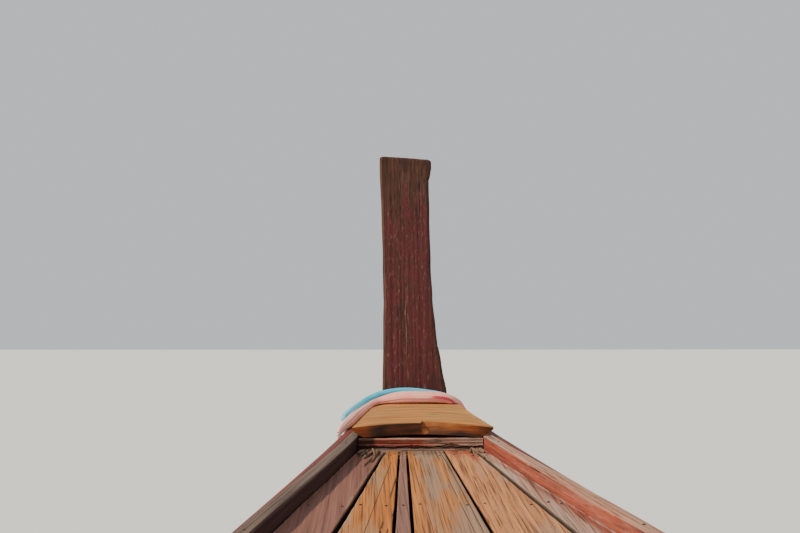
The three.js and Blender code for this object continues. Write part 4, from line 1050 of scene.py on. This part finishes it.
stemPost = {
    # height, port and starboard edge of the rear face, places of the rear and front face, front half-width
    "rows": [
        (0.992, -0.113, 0.137, 4.616, 4.884, 0.042), (1.034, -0.1125, 0.1335, 4.621, 4.889, 0.042),
        (1.104, -0.1118, 0.119, 4.634, 4.896, 0.043), (1.198, -0.1102, 0.1044, 4.651, 4.905, 0.045),
        (1.373, -0.1087, 0.0877, 4.684, 4.920, 0.048), (1.577, -0.1126, 0.0847, 4.722, 4.936, 0.054),
        (1.792, -0.1189, 0.085, 4.761, 4.952, 0.062), (1.885, -0.1235, 0.0856, 4.778, 4.958, 0.066),
        (1.910, -0.124, 0.092, 4.783, 4.960, 0.068), (1.950, -0.1244, 0.097, 4.790, 4.962, 0.070),
        (1.992, -0.1244, 0.097, 4.795, 4.962, 0.070),
    ],
    "foot": 0.985,
    "step": 0.005,
    "topPort": 1.992,
    "topStarboard": 1.978,
    "bevel": 0.009,
    "shoulder": 0.014,
    "rounding": (0.25, 0.5, 0.75, 0.92),  # shares of a right angle at which the shoulder has a ring
    "closing": (2.2, 3.6),  # the last rings' insets, in shoulders
    "wobble": 0.0022,
    "counts": [3, 56, 3, 34, 20, 34],  # points on each side, from the port bevel round
    "cut": 0.996,  # below this the stem keeps its solid's shape
    # the top's slope to starboard: its start and reach in height, and its start and reach across
    "slope": (1.85, 0.142, -0.124, 0.221),
    "wornTop": (1.985, 0.03),  # the wear's height, and how far down it goes
    "wornSide": (0.9, 0.022),  # its strength at the side edges, and how far in it would be none
    "rake": (0.9, 0.55),  # below this height the cutwater's grain leans back, by this much
}


def postRing(z, inset, lift):
    port, starboard, rear, front, half = (between(stemPost["rows"], z, i) for i in range(1, 6))
    port += inset + stemPost["wobble"] * (noise.noise((0, 1, z * 9)) + 0.4)
    starboard -= inset - stemPost["wobble"] * (noise.noise((5, 2, z * 11)) - 0.4)
    rear, front, half = rear + inset, front - inset, half - inset
    bevel = stemPost["bevel"]
    corners = [
        (port, rear + bevel), (port + bevel, rear), (starboard - bevel, rear), (starboard, rear + bevel),
        (half, front), (-half, front),
    ]
    low, rise, edge, wide = stemPost["slope"]
    slope = (stemPost["topStarboard"] - stemPost["topPort"]) * max(0.0, (z - low) / rise)
    ring = []
    for i, count in enumerate(stemPost["counts"]):
        ring += stepsTo(corners[i], corners[(i + 1) % 6], count)
    return [Vector((x, y, z + lift + slope * (x - edge) / wide)) for x, y in ring]


def shapeStem():
    shoulder = stemPost["shoulder"]
    top = stemPost["topPort"] - shoulder
    rings = [postRing(z, 0.0, 0.0) for z in spread(stemPost["foot"], top, stemPost["step"])]
    for turn in stemPost["rounding"]:
        angle = turn * math.pi / 2
        rings.append(postRing(top, shoulder * (1 - math.cos(angle)), shoulder * math.sin(angle)))
    rings += [postRing(top, shoulder * inset, shoulder) for inset in stemPost["closing"]]
    wearing = []
    (high, below), (worn, inwards) = stemPost["wornTop"], stemPost["wornSide"]
    for ring in rings:
        port, starboard = min(p.x for p in ring), max(p.x for p in ring)
        for p in ring:
            side = min(p.x - port, starboard - p.x)
            wearing.append(max(fades(high - p.z, below), worn - side / inwards))
    upper = loftPiece("stem_post_worn", rings, wearing)
    layGrain(upper, lambda at: (at.x, at.y - between(stemPost["rows"], at.z, 3), at.z))
    weather(upper, grain="z", groove=0.0016, hollow=0.0016, seed=12.0)
    lower = mergedCopy("stem_post")
    cut = bmesh.ops.bisect_plane(
        lower, geom=lower.verts[:] + lower.edges[:] + lower.faces[:], dist=1e-5,
        plane_co=(0, 0, stemPost["cut"]), plane_no=(0, 0, 1), clear_outer=True,
    )
    bmesh.ops.holes_fill(lower, edges=[e for e in cut["geom_cut"] if isinstance(e, bmesh.types.BMEdge)])
    split = len(lower.verts)
    lower.from_mesh(upper.data)
    lower.to_mesh(upper.data)
    lower.free()
    laid = upper.data.attributes["laid"].data
    rear, (high, lean) = stemPost["rows"][0][3], stemPost["rake"]
    for i, (x, y, z) in enumerate(v.co for v in upper.data.vertices[:split]):
        laid[i].vector = (x, y - rear - lean * min(0.0, z - high), z)
    finishPiece(upper, "stem", "stem_post", 50)


shapeStem()
print("stem post")

canopy = {
    "aft": -2.6,
    "fore": 1.6,
    "bays": 4,
    "eave": 1.88,
    "crown": 0.17,
    "overhang": 0.07,
    "edge": 0.11,
    "above": 0.0372,  # the cloth's underside over the eave, on the bows
    "eaveOut": 0.022,  # the eave's line lies this far outside the rail's middle
    "sag": 0.012,
    "endSag": 0.3,  # share of the sag in the overhanging ends
    "thick": 0.0025,
    "step": 0.03,
    "columns": 72,
    "hem": 0.030,
    "hemThick": 0.0014,
    "stitch": {"Spacing": 0.011, "Length": 0.0075, "Radius": 0.0007},
}

# Timbers and castings that keep their solid's shape, with their edges worn


def onBothSides(*names):
    return [f"{name}_{side}" for name in names for side in sides]


def alongSheer(at):  # planking follows the rail's curve
    return (0.7 * abs(at.x) / railHalf(at.y), at.y, at.z - railTop(at.y))


def alongCanopy(at):  # a post's grain runs up it, and a long piece's along it
    return (at.x, at.z, at.y) if at.z < 1.84 else (at.x - math.copysign(railHalf(at.y), at.x), at.y, at.z)


def alongBow(at):  # a canopy bow is bent to its curve
    return (at.x, at.y, at.z + canopy["crown"] * (at.x / railHalf(at.y)) ** 2)


plainTimbers = {
    "hullOil": ["keel", *onBothSides(
        "garboard_aft", "garboard_fore", "bilge_strake_aft", "bilge_strake_fore", "side_strake",
    )],
    "hullPaint": onBothSides("sheer_strake", "rubbing_strake"),
    "transomPaint": ["transom"],
    "inner": [*onBothSides("floor_panel"), "stern_deck"],
    "innerAcross": ["keelson_and_floors", *onBothSides("side_frames"), "deck_beams", "engine_beam"],
    "bench": [f"bench_{i}" for i in range(1, 6)],
    "canopyWood": onBothSides("canopy_frame"),
    "canopyAcross": ["canopy_bows"],
}
bentBy = {"hullOil": alongSheer, "hullPaint": alongSheer, "canopyWood": alongCanopy, "canopyAcross": alongBow}
# the axes that a rib's grain and its width and depth follow: up the sides, across the bottom
ribAxes = {"side_frames_port": (2, 1, 0), "side_frames_starboard": (2, 1, 0), "keelson_and_floors": (0, 1, 2)}
machinery = {
    "steel": ["swivel_socket", "swivel_yoke", "tail_tube", "skeg", "dynamo", "tiller"],
    "engine": ["engine_block"],
    "cradle": ["engine_cradle"],
    "exhaust": ["exhaust"],
    "castAluminium": ["cylinder_head", "air_intake"],
    "rubber": ["belt_drive"],
    "bronze": ["propeller"],
}
for table, edge in ((plainTimbers, 0.003), (machinery, 0.002)):
    for finish, names in table.items():
        for node in names:
            plane(node, finish, edge, bentBy.get(finish), ribAxes.get(node))
print("plain timbers and machinery")


# Sashes

sashes = {
    # each is a gathered roll laid round the bow; its rows run from the front of the stem along starboard,
    # over the bow board and back along port: middle of the roll, half its width and height, and lean,
    # which is 0 where the roll lies on top and 90 where it hangs outboard
    "sash_pink": {
        "finish": "pinkCotton", "pleats": 11, "depth": 0.0018, "faded": 0.7,
        "rows": [
            (0.012, 4.878, 0.838, 0.020, 0.008, 90), (0.086, 4.815, 0.848, 0.022, 0.009, 90),
            (0.114, 4.73, 0.872, 0.022, 0.009, 90), (0.150, 4.64, 0.900, 0.022, 0.009, 90),
            (0.180, 4.56, 0.922, 0.018, 0.008, 90), (0.196, 4.525, 0.938, 0.014, 0.006, 84),
            (0.186, 4.512, 0.952, 0.013, 0.005, 74), (0.171, 4.508, 0.972, 0.013, 0.006, 66),
            (0.160, 4.507, 0.99, 0.014, 0.006, 54), (0.142, 4.503, 1.002, 0.022, 0.011, 28),
            (0.112, 4.500, 1.011, 0.030, 0.015, 10), (0.070, 4.500, 1.0155, 0.034, 0.0175, 8),
            (0.020, 4.500, 1.016, 0.035, 0.0178, 8), (-0.035, 4.500, 1.0155, 0.034, 0.0172, 8),
            (-0.075, 4.496, 1.0125, 0.028, 0.0145, 12), (-0.105, 4.490, 1.008, 0.020, 0.0110, 16),
            (-0.128, 4.482, 1.003, 0.013, 0.0090, 22), (-0.145, 4.470, 0.998, 0.011, 0.0085, 32),
            (-0.166, 4.443, 0.986, 0.012, 0.0090, 40), (-0.191, 4.400, 0.971, 0.014, 0.0095, 48),
            (-0.205, 4.375, 0.963, 0.015, 0.0100, 52), (-0.220, 4.345, 0.952, 0.017, 0.0110, 58),
            (-0.240, 4.312, 0.939, 0.014, 0.0090, 70), (-0.254, 4.288, 0.920, 0.010, 0.0065, 84),
            (-0.250, 4.298, 0.898, 0.010, 0.0065, 92), (-0.236, 4.345, 0.882, 0.014, 0.0070, 92),
            (-0.205, 4.44, 0.862, 0.020, 0.008, 92), (-0.156, 4.60, 0.848, 0.021, 0.008, 92),
            (-0.112, 4.73, 0.840, 0.021, 0.008, 91), (-0.086, 4.815, 0.836, 0.021, 0.008, 90),
            (-0.012, 4.878, 0.836, 0.020, 0.008, 90),
        ],
        # where the knot is, half its size, and the radius of its roll
        "knot": {"at": (0.0, 4.888, 0.838), "half": (0.022, 0.007, 0.014), "roll": 0.0075},
    },
    "sash_blue": {
        "finish": "blueCotton", "pleats": 5, "depth": 0.0010, "faded": 0.3,
        "rows": [
            (0.012, 4.890, 0.884, 0.014, 0.008, 90), (0.083, 4.83, 0.890, 0.016, 0.009, 90),
            (0.113, 4.74, 0.910, 0.016, 0.009, 90), (0.144, 4.665, 0.938, 0.016, 0.009, 86),
            (0.166, 4.612, 0.964, 0.012, 0.007, 76), (0.150, 4.590, 0.994, 0.011, 0.006, 55),
            (0.118, 4.578, 1.014, 0.012, 0.008, 20), (0.053, 4.580, 1.022, 0.016, 0.013, 10),
            (-0.014, 4.580, 1.027, 0.018, 0.015, 8), (-0.066, 4.575, 1.025, 0.018, 0.015, 10),
            (-0.119, 4.550, 1.017, 0.017, 0.014, 20), (-0.163, 4.505, 1.004, 0.015, 0.013, 36),
            (-0.188, 4.465, 0.992, 0.014, 0.012, 44), (-0.222, 4.405, 0.974, 0.014, 0.011, 56),
            (-0.240, 4.365, 0.957, 0.013, 0.009, 72), (-0.240, 4.372, 0.930, 0.013, 0.008, 86),
            (-0.226, 4.405, 0.910, 0.015, 0.008, 92), (-0.190, 4.50, 0.900, 0.016, 0.008, 92),
            (-0.147, 4.64, 0.890, 0.016, 0.008, 91), (-0.106, 4.755, 0.884, 0.016, 0.008, 90),
            (-0.012, 4.890, 0.882, 0.014, 0.008, 90),
        ],
        "knot": {"at": (0.0, 4.899, 0.884), "half": (0.018, 0.006, 0.012), "roll": 0.0060},
    },
}
winding = {
    "lengths": 260,
    "around": 56,
    "clear": 0.0015,  # kept between the cloth and what it lies on
    "fullPleat": 0.030,  # half width from which the pleats are whole
    "flattened": 0.6,  # how square the roll's underside is, and 1 leaves it round
    "faded": (-0.17, 0.07),  # it begins to fade here, and is all faded so far outboard of that
    "shadedFold": (0.105, 0.05, 2.8, 0.36),  # of the pink sash, one fold painted deep crimson as its shade: place and half width across, and round it
    "knotLengths": 96,
    "knotAround": 14,
}


def curveAt(a, b, c, d, t):  # from b to c on a smooth curve that also passes a and d
    return 0.5 * (
        2 * b + (c - a) * t + (2 * a - 5 * b + 4 * c - d) * t * t + (3 * b - a - 3 * c + d) * t**3
    )


def smoothPath(rows, count):  # evenly spaced rows on a smooth curve through these
    dense = []
    padded = [rows[0], *rows, rows[-1]]
    for four in zip(padded, padded[1:], padded[2:], padded[3:]):
        dense += [[curveAt(*values, k / 24) for values in zip(*four)] for k in range(24)]
    dense.append(list(rows[-1]))
    lengths = [0.0]
    for a, b in zip(dense, dense[1:]):
        lengths.append(lengths[-1] + (Vector(b[:3]) - Vector(a[:3])).length)
    out, at = [], 0
    for i in range(count):
        want = lengths[-1] * i / (count - 1)
        while at < len(dense) - 2 and lengths[at + 1] < want:
            at += 1
        share = (want - lengths[at]) / max(1e-9, lengths[at + 1] - lengths[at])
        out.append([a + share * (b - a) for a, b in zip(dense[at], dense[at + 1])])
    return out, lengths[-1]


def skinOf(names):  # a tree of some pieces' faces, to keep cloth outside them
    points, faces = [], []
    for name in names:
        mesh = bpy.data.objects[name + "_worn"].data
        start = len(points)
        points += [v.co.copy() for v in mesh.vertices]
        mesh.calc_loop_triangles()
        faces += [[start + i for i in face.vertices] for face in mesh.loop_triangles]
    return BVHTree.FromPolygons(points, faces)


def windSash(name, sash, bow):
    count, columns, clear = winding["lengths"], winding["around"], winding["clear"]
    foldAt, foldHalf, foldTurn, foldWide = winding["shadedFold"]
    flat, (fadeAt, fadeOut) = winding["flattened"], winding["faded"]
    rows, length = smoothPath(sash["rows"], count)
    middles = [Vector(row[:3]) for row in rows]
    points, cut, folds, pales = [], [], [], []
    for i, (at, row) in enumerate(zip(middles, rows)):
        wide, high, lean = row[3], row[4], math.radians(row[5])
        along = (middles[min(i + 1, count - 1)] - middles[max(i - 1, 0)]).normalized()
        left = Vector((0, 0, 1)).cross(along).normalized()
        out = Vector((0, 0, math.cos(lean))) + left * math.sin(lean)
        out = (out - along * out.dot(along)).normalized()
        side = along.cross(out)
        drift = 2.4 * noise.noise((i * 0.012, 3, sash["pleats"]))
        for k in range(columns):
            angle = math.tau * k / columns
            turn = angle * sash["pleats"] + drift + 1.3 * noise.noise((k * 0.2, i * 0.02, 7))
            pleat = math.sin(turn + 0.7 * math.sin(turn))
            swell = 1 + 0.10 * noise.noise((math.cos(angle), math.sin(angle), i * 0.035))
            deep = sash["depth"] * (pleat - 0.7) * (0.6 + 0.4 * noise.noise((k * 0.15, i * 0.03, 2)))
            deep *= min(1.0, wide / winding["fullPleat"])
            c, d = math.cos(angle), math.sin(angle)
            if d < 0:  # it lies flat on what is under it
                c, d = math.copysign(abs(c) ** flat, c), -(abs(d) ** flat)
            p = at + side * c * (wide * swell + deep) + out * d * (high * swell + deep)
            reach = p - at  # it is pressed flat where something is in its way
            met = bow.ray_cast(at, reach.normalized(), reach.length + clear)[3]
            if met is not None:
                p = at + reach.normalized() * max(0.0005, met - clear)
            points.append(p)
            cut.append((angle * (wide + high) / 2, length * i / (count - 1)))
            # painted shade in the pleats' hollows
            crease = 0.5 * max(0.0, -pleat) ** 3
            if name == "sash_pink":  # one fold is painted deep crimson as its shade
                inside = 1 - ((at.x - foldAt) / foldHalf) ** 2 - ((angle - foldTurn) / foldWide) ** 2
                crease = max(crease, min(1.0, 3 * inside))
            folds.append(crease)
            pales.append(sash["faded"] * clamp((fadeAt - at.x) / fadeOut) * (0.6 + 0.4 * pleat))
    piece = closedPiece(name + "_cloth", points, skinFaces(count, columns))
    keepCut(piece, cut)
    keepMarks(piece, fold=folds, bleach=pales)
    finishPiece(piece, sash["finish"], name, 70)
    knot = tieKnot(name, sash)


def sweepRoll(path, radii, columns, closed):  # the points of a round roll along a path
    points, count = [], len(path)
    for i, at in enumerate(path):
        before = path[i - 1] if closed or i else at
        after = path[(i + 1) % count] if closed or i + 1 < count else at
        along = (after - before).normalized()
        side = along.cross(Vector((0, 1, 0))).normalized()
        out = side.cross(along)
        for k in range(columns):
            angle = math.tau * k / columns
            crease = 1 + 0.10 * math.sin(5 * angle + 9 * i / count)
            points.append(at + (side * math.cos(angle) + out * math.sin(angle)) * radii[i] * crease)
    return points, skinFaces(count, columns, closed)


def tieKnot(name, sash):  # the ends cross over each other in front of the stem and come out below
    middle, half, roll = Vector(sash["knot"]["at"]), Vector(sash["knot"]["half"]), sash["knot"]["roll"]
    count, columns = winding["knotLengths"], winding["knotAround"]
    path = []
    for t in (math.tau * i / count for i in range(count)):
        across, up = math.sin(t) + 2 * math.sin(2 * t), math.cos(t) - 2 * math.cos(2 * t)
        path.append(middle + Vector((across / 3, -math.sin(3 * t), up / 3)) * half)
    points, faces = sweepRoll(path, [roll] * count, columns, True)
    for side in sides.values():
        ends = [
            middle + Vector((side * (0.010 + 0.030 * t), -0.004 * t, -0.010 - 0.026 * t * t))
            for t in spread(0.0, 1.0, 0.08)
        ]
        flare = [roll * (0.75 + 0.45 * i / len(ends)) for i in range(len(ends))]
        more, skin = sweepRoll(ends, flare, columns, False)
        faces += [tuple(i + len(points) for i in face) for face in skin]
        points += more
    piece = addPiece(name + "_knot", points, faces)
    keepCut(piece, [(p.x + p.y, p.z) for p in points])
    return dress(piece, sash["finish"], "hull", slotOf[name], 70)


bow = skinOf(["bow_board", *onBothSides("rail", "sheer_strake"), "stem_post"])
for name, sash in sashes.items():
    windSash(name, sash, bow)
print("sashes and their knots")


# Fastenings and stitches, repeated by Geometry Nodes


def startTree(name, inputs):  # a tree with geometry in and out, and these named inputs
    tree = bpy.data.node_groups.new(name, "GeometryNodeTree")
    tree.interface.new_socket("Geometry", in_out="OUTPUT", socket_type="NodeSocketGeometry")
    for label, kind in {"Geometry": "Geometry", **inputs}.items():
        tree.interface.new_socket(label, in_out="INPUT", socket_type="NodeSocket" + kind)
    return tree, tree.nodes.new("NodeGroupInput").outputs


def finishTree(tree, points, shape, way, scale, material):  # the shape on each point, as one mesh
    turned = addNode(tree, "FunctionNodeAlignRotationToVector", {"Vector": way}, axis="Z")
    placed = addNode(tree, "GeometryNodeInstanceOnPoints", {
        "Points": points, "Instance": shape, "Rotation": turned, "Scale": scale,
    })
    real = addNode(tree, "GeometryNodeRealizeInstances", {"Geometry": placed})
    painted = addNode(tree, "GeometryNodeSetMaterial", {"Geometry": real, "Material": material})
    addNode(tree, "NodeGroupOutput", {"Geometry": painted})
    return tree


def headTree():  # a low domed head on each point, turned to its "facing"
    tree, given = startTree("fastening heads", {
        "Radius": "Float", "Height": "Float", "Sides": "Int", "Least": "Float", "Most": "Float",
        "Seed": "Int", "Finish": "Material",
    })
    top = addNode(tree, "ShaderNodeMath", {0: given["Radius"], 1: 0.6}, operation="MULTIPLY")
    head = addNode(tree, "GeometryNodeMeshCone", {
        "Vertices": given["Sides"], "Radius Top": top, "Radius Bottom": given["Radius"],
        "Depth": given["Height"],
    })
    facing = addNode(tree, "GeometryNodeInputNamedAttribute", {"Name": "facing"}, data_type="FLOAT_VECTOR")
    sizes = {2: given["Least"], 3: given["Most"], "Seed": given["Seed"]}
    size = addNode(tree, "FunctionNodeRandomValue", sizes, 1, data_type="FLOAT")
    return finishTree(tree, given["Geometry"], head, facing, size, given["Finish"])


def stitchTree():  # short lengths of thread along the piece's edges
    tree, given = startTree("stitches", {
        "Spacing": "Float", "Length": "Float", "Radius": "Float", "Finish": "Material",
    })
    curve = addNode(tree, "GeometryNodeMeshToCurve", {"Mesh": given["Geometry"]})
    spacing = {"Curve": curve, "Length": given["Spacing"]}
    even = addNode(tree, "GeometryNodeResampleCurve", spacing, mode="LENGTH")
    way = addNode(tree, "GeometryNodeInputTangent")
    sizes = {"Vertices": 6, "Radius": given["Radius"], "Depth": given["Length"]}
    thread = addNode(tree, "GeometryNodeMeshCylinder", sizes)
    return finishTree(tree, even, thread, way, (1, 1, 1), given["Finish"])


def grow(piece, tree, values):  # runs a tree on a piece with these values, and keeps the mesh
    modifier = piece.modifiers.new("repeats", "NODES")
    modifier.node_group = tree
    for socket in tree.interface.items_tree:
        if socket.name in values:
            modifier[socket.identifier] = values[socket.name]
    settle(piece)


heads = headTree()
fastenings = {
    "plankNail": {"Radius": 0.0045, "Height": 0.0012, "Sides": 9, "Least": 0.8, "Most": 1.15},
    "strakeNail": {"Radius": 0.007, "Height": 0.0018, "Sides": 10, "Least": 0.85, "Most": 1.15},
    "bolt": {"Radius": 0.010, "Height": 0.007, "Sides": 6, "Least": 1.0, "Most": 1.0},
    "smallBolt": {"Radius": 0.006, "Height": 0.005, "Sides": 6, "Least": 1.0, "Most": 1.0},
    "sunk": 0.0004,
}


def driveHeads(name, kind, carriers, shots, body="hull", slot="rusty_steel", finish="fastening"):
    # a shot is where a fastening is driven from and the way it goes; its head sits where it meets the skin
    skin = skinOf(carriers)
    points, ways = [], []
    for start, way in shots:
        at, normal, _, _ = skin.ray_cast(Vector(start), Vector(way))
        if at is None:
            continue
        if normal.dot(Vector(way)) > 0:
            normal = -normal
        points.append(at - normal * fastenings["sunk"])
        ways += list(normal)
    piece = addPiece(name, points)
    piece.data.attributes.new("facing", "FLOAT_VECTOR", "POINT").data.foreach_set("vector", ways)
    grow(piece, heads, {**fastenings[kind], "Seed": len(points), "Finish": finishes[finish]})
    print(name, len(points), "of", len(shots))
    dress(piece, finish, body, slot, 30)


nailing = {
    "deck": [2.82, 3.40, 3.78, 4.155],  # across the beams
    "deckIn": 0.022,  # from a board's edge
    "ribs": [-4.45 + 0.55 * i for i in range(15)],
    "strakes": [0.115, 0.165, 0.245, 0.295, 0.375, 0.425, 0.505],  # below the rail's top
    "rail": (-4.7, 4.15, 0.59),  # first and last place and step
}
down = (0, 0, -1)


def nailBoat():
    deck, rail, planking = [], [], []
    for y in nailing["deck"]:
        edges = [-railInside(y), *[seamAt(i, y) for i in range(5)], railInside(y)]
        for left, right in zip(edges, edges[1:]):
            if right - left < 3 * nailing["deckIn"]:
                deck.append((((left + right) / 2, y, 2), down))
            else:
                deck.append(((left + nailing["deckIn"], y + 0.006, 2), down))
                deck.append(((right - nailing["deckIn"], y - 0.004, 2), down))
    for y in spread(*nailing["rail"]):
        rail += [((side * (railHalf(y) - railPlan["wide"] / 2), y, 1.2), down) for side in sides.values()]
    for y in nailing["ribs"]:
        for below in nailing["strakes"]:
            for side in sides.values():
                planking.append(((side * 1.6, y + 0.008 * side, railTop(y) - below), (-side, 0, 0)))
    driveHeads("nails_foredeck", "plankNail", list(foredeck["boards"]), deck)
    driveHeads("nails_rails", "plankNail", onBothSides("rail"), rail)
    planks = plainTimbers["hullOil"][1:] + plainTimbers["hullPaint"]
    driveHeads("nails_planking", "strakeNail", planks, planking)


# Bolts: their kind, what they sit on, body, slot and finish, and each one's start and way
bolts = {
    "bolts_socket": ("smallBolt", ["swivel_socket"], "hull", "steel", "fastening", [
        ((x, -4.62 + dy, 1.0), down) for x in (-0.085, 0.085) for dy in (-0.045, 0.045)
    ]),
    "bolts_head": ("smallBolt", ["cylinder_head"], "engine", "engine_metal", "castAluminium", [
        ((x, y, 1.6), down) for y in (-4.50, -4.39, -4.28, -4.17, -4.07) for x in (-0.083, 0.083)
    ]),
    "bolts_intake": ("smallBolt", ["air_intake"], "engine", "engine_metal", "castAluminium", [
        ((0.165 + 0.045 * math.cos(a), -4.29 + 0.045 * math.sin(a), 1.6), down) for a in (0.5, 2.6, 4.7)
    ]),
    "bolts_feet": ("bolt", ["engine_block"], "engine", "engine_metal", "fastening", [
        ((x, y, 1.08), down) for x in (-0.165, 0.165) for y in (-4.47, -4.09)
    ]),
    "bolts_bell": ("smallBolt", ["engine_block"], "engine", "engine_metal", "fastening", [
        ((0.125 * math.cos(a), -5.0, 1.10 + 0.125 * math.sin(a)), (0, 1, 0))
        for a in (0.26, 0.79, 1.31, 1.83, 2.36, 2.88, 3.40, 4.71, 6.02)
    ]),
    "bolts_cradle": ("bolt", ["engine_cradle"], "engine", "rusty_steel", "fastening", [
        *[((x, y, 1.3), down) for x in (-0.175, 0.175) for y in (-4.75, -4.62, -3.86)],
        ((0.0, -3.86, 1.3), down),
    ]),
}

nailBoat()
for name, (kind, carriers, body, slot, finish, shots) in bolts.items():
    driveHeads(name, kind, carriers, shots, body, slot, finish)
print("fastenings")


# Canopy cloth

canopyEnds = (canopy["aft"] - canopy["edge"], canopy["fore"] + canopy["edge"])
canopyBay = (canopy["fore"] - canopy["aft"]) / canopy["bays"]
canopyStations = [
    canopyEnds[0], *[canopy["aft"] + i * canopyBay for i in range(canopy["bays"] + 1)], canopyEnds[1],
]


def canopyHalf(y):  # half the cloth's width between its eaves, which is straight from bow to bow
    after = max(1, sum(1 for s in canopyStations[:-1] if y >= s - 1e-9))
    ends = canopyStations[after - 1], canopyStations[after]
    share = (y - ends[0]) / (ends[1] - ends[0])
    halves = [railHalf(s) - railPlan["wide"] / 2 + canopy["eaveOut"] for s in ends]
    isBay = 1 < after < len(canopyStations) - 1
    return halves[0] + share * (halves[1] - halves[0]), share, isBay


def canopyOut(y):
    return canopyHalf(y)[0] + canopy["overhang"]


def canopyUnder(x, y):  # the cloth's underside, which sags a little between the bows
    half, share, isBay = canopyHalf(y)
    u = x / half
    z = canopy["eave"] + canopy["above"] + canopy["crown"] * (1 - u * u)
    if abs(u) >= 1:
        return z
    span = math.sin(math.pi * share)
    sway = 0.15 + 0.85 * math.sin(math.tau * u) ** 2
    return z - canopy["sag"] * (span**2 if isBay else canopy["endSag"] * span) * sway


def stretchCanopy():
    low, high = canopyEnds
    hem, ramp = canopy["hem"], 0.0015  # metres over which the hem's step rises
    rows = [low, low + hem, *spread(low + hem + ramp, high - hem - ramp, canopy["step"]), high - hem, high]
    points, cut, folds = [], [], []
    for y in rows:
        out = canopyOut(y)
        inner = out - hem - ramp
        across = [-out, -out + hem, *spread(-inner, inner, 2 * inner / canopy["columns"]), out - hem, out]
        for x in across:
            doubled = abs(x) > inner + ramp / 2 or not low + hem + ramp / 2 < y < high - hem - ramp / 2
            points.append((x, y, canopyUnder(x, y) + (canopy["hemThick"] if doubled else 0.0)))
            cut.append((x, y))
            folds.append(0.3 * max(0.0, noise.noise((x * 3, y * 2, 1))))
    wide = len(across)
    starts = [r * wide + k for r in range(len(rows) - 1) for k in range(wide - 1)]
    piece = addPiece("canopy_cloth", points, [(a, a + 1, a + wide + 1, a + wide) for a in starts])
    keepCut(piece, cut)
    keepMarks(piece, fold=folds)
    thick = piece.modifiers.new("cloth", "SOLIDIFY")
    thick.thickness = canopy["thick"]
    thick.offset = 1.0
    settle(piece)
    finishPiece(piece, "canopyCotton", "canopy_sheet", 60)
    stitchHem()


def stitchHem():  # one row of thread along the hem's inner edge, on all four sides
    inset = canopy["hem"] - 0.004
    low, high = canopyEnds[0] + inset, canopyEnds[1] - inset
    above = canopy["thick"] + canopy["hemThick"] + canopy["stitch"]["Radius"] * 0.4
    runs = spread(low, high, canopy["step"])
    lines = [[(side * (canopyOut(y) - inset), y) for y in runs] for side in sides.values()]
    for y in (low, high):
        out = canopyOut(y) - inset
        lines.append([(x, y) for x in spread(-out, out, 0.02)])
    points, edges = [], []
    for line in lines:
        edges += [(len(points) + i, len(points) + i + 1) for i in range(len(line) - 1)]
        points += [(x, y, canopyUnder(x, y) + above) for x, y in line]
    piece = addPiece("canopy_stitches", points, edges=edges)
    grow(piece, stitchTree(), {**canopy["stitch"], "Finish": finishes["thread"]})
    return dress(piece, "thread", "hull", "canopy_cloth", 60)


stretchCanopy()
print("canopy cloth")
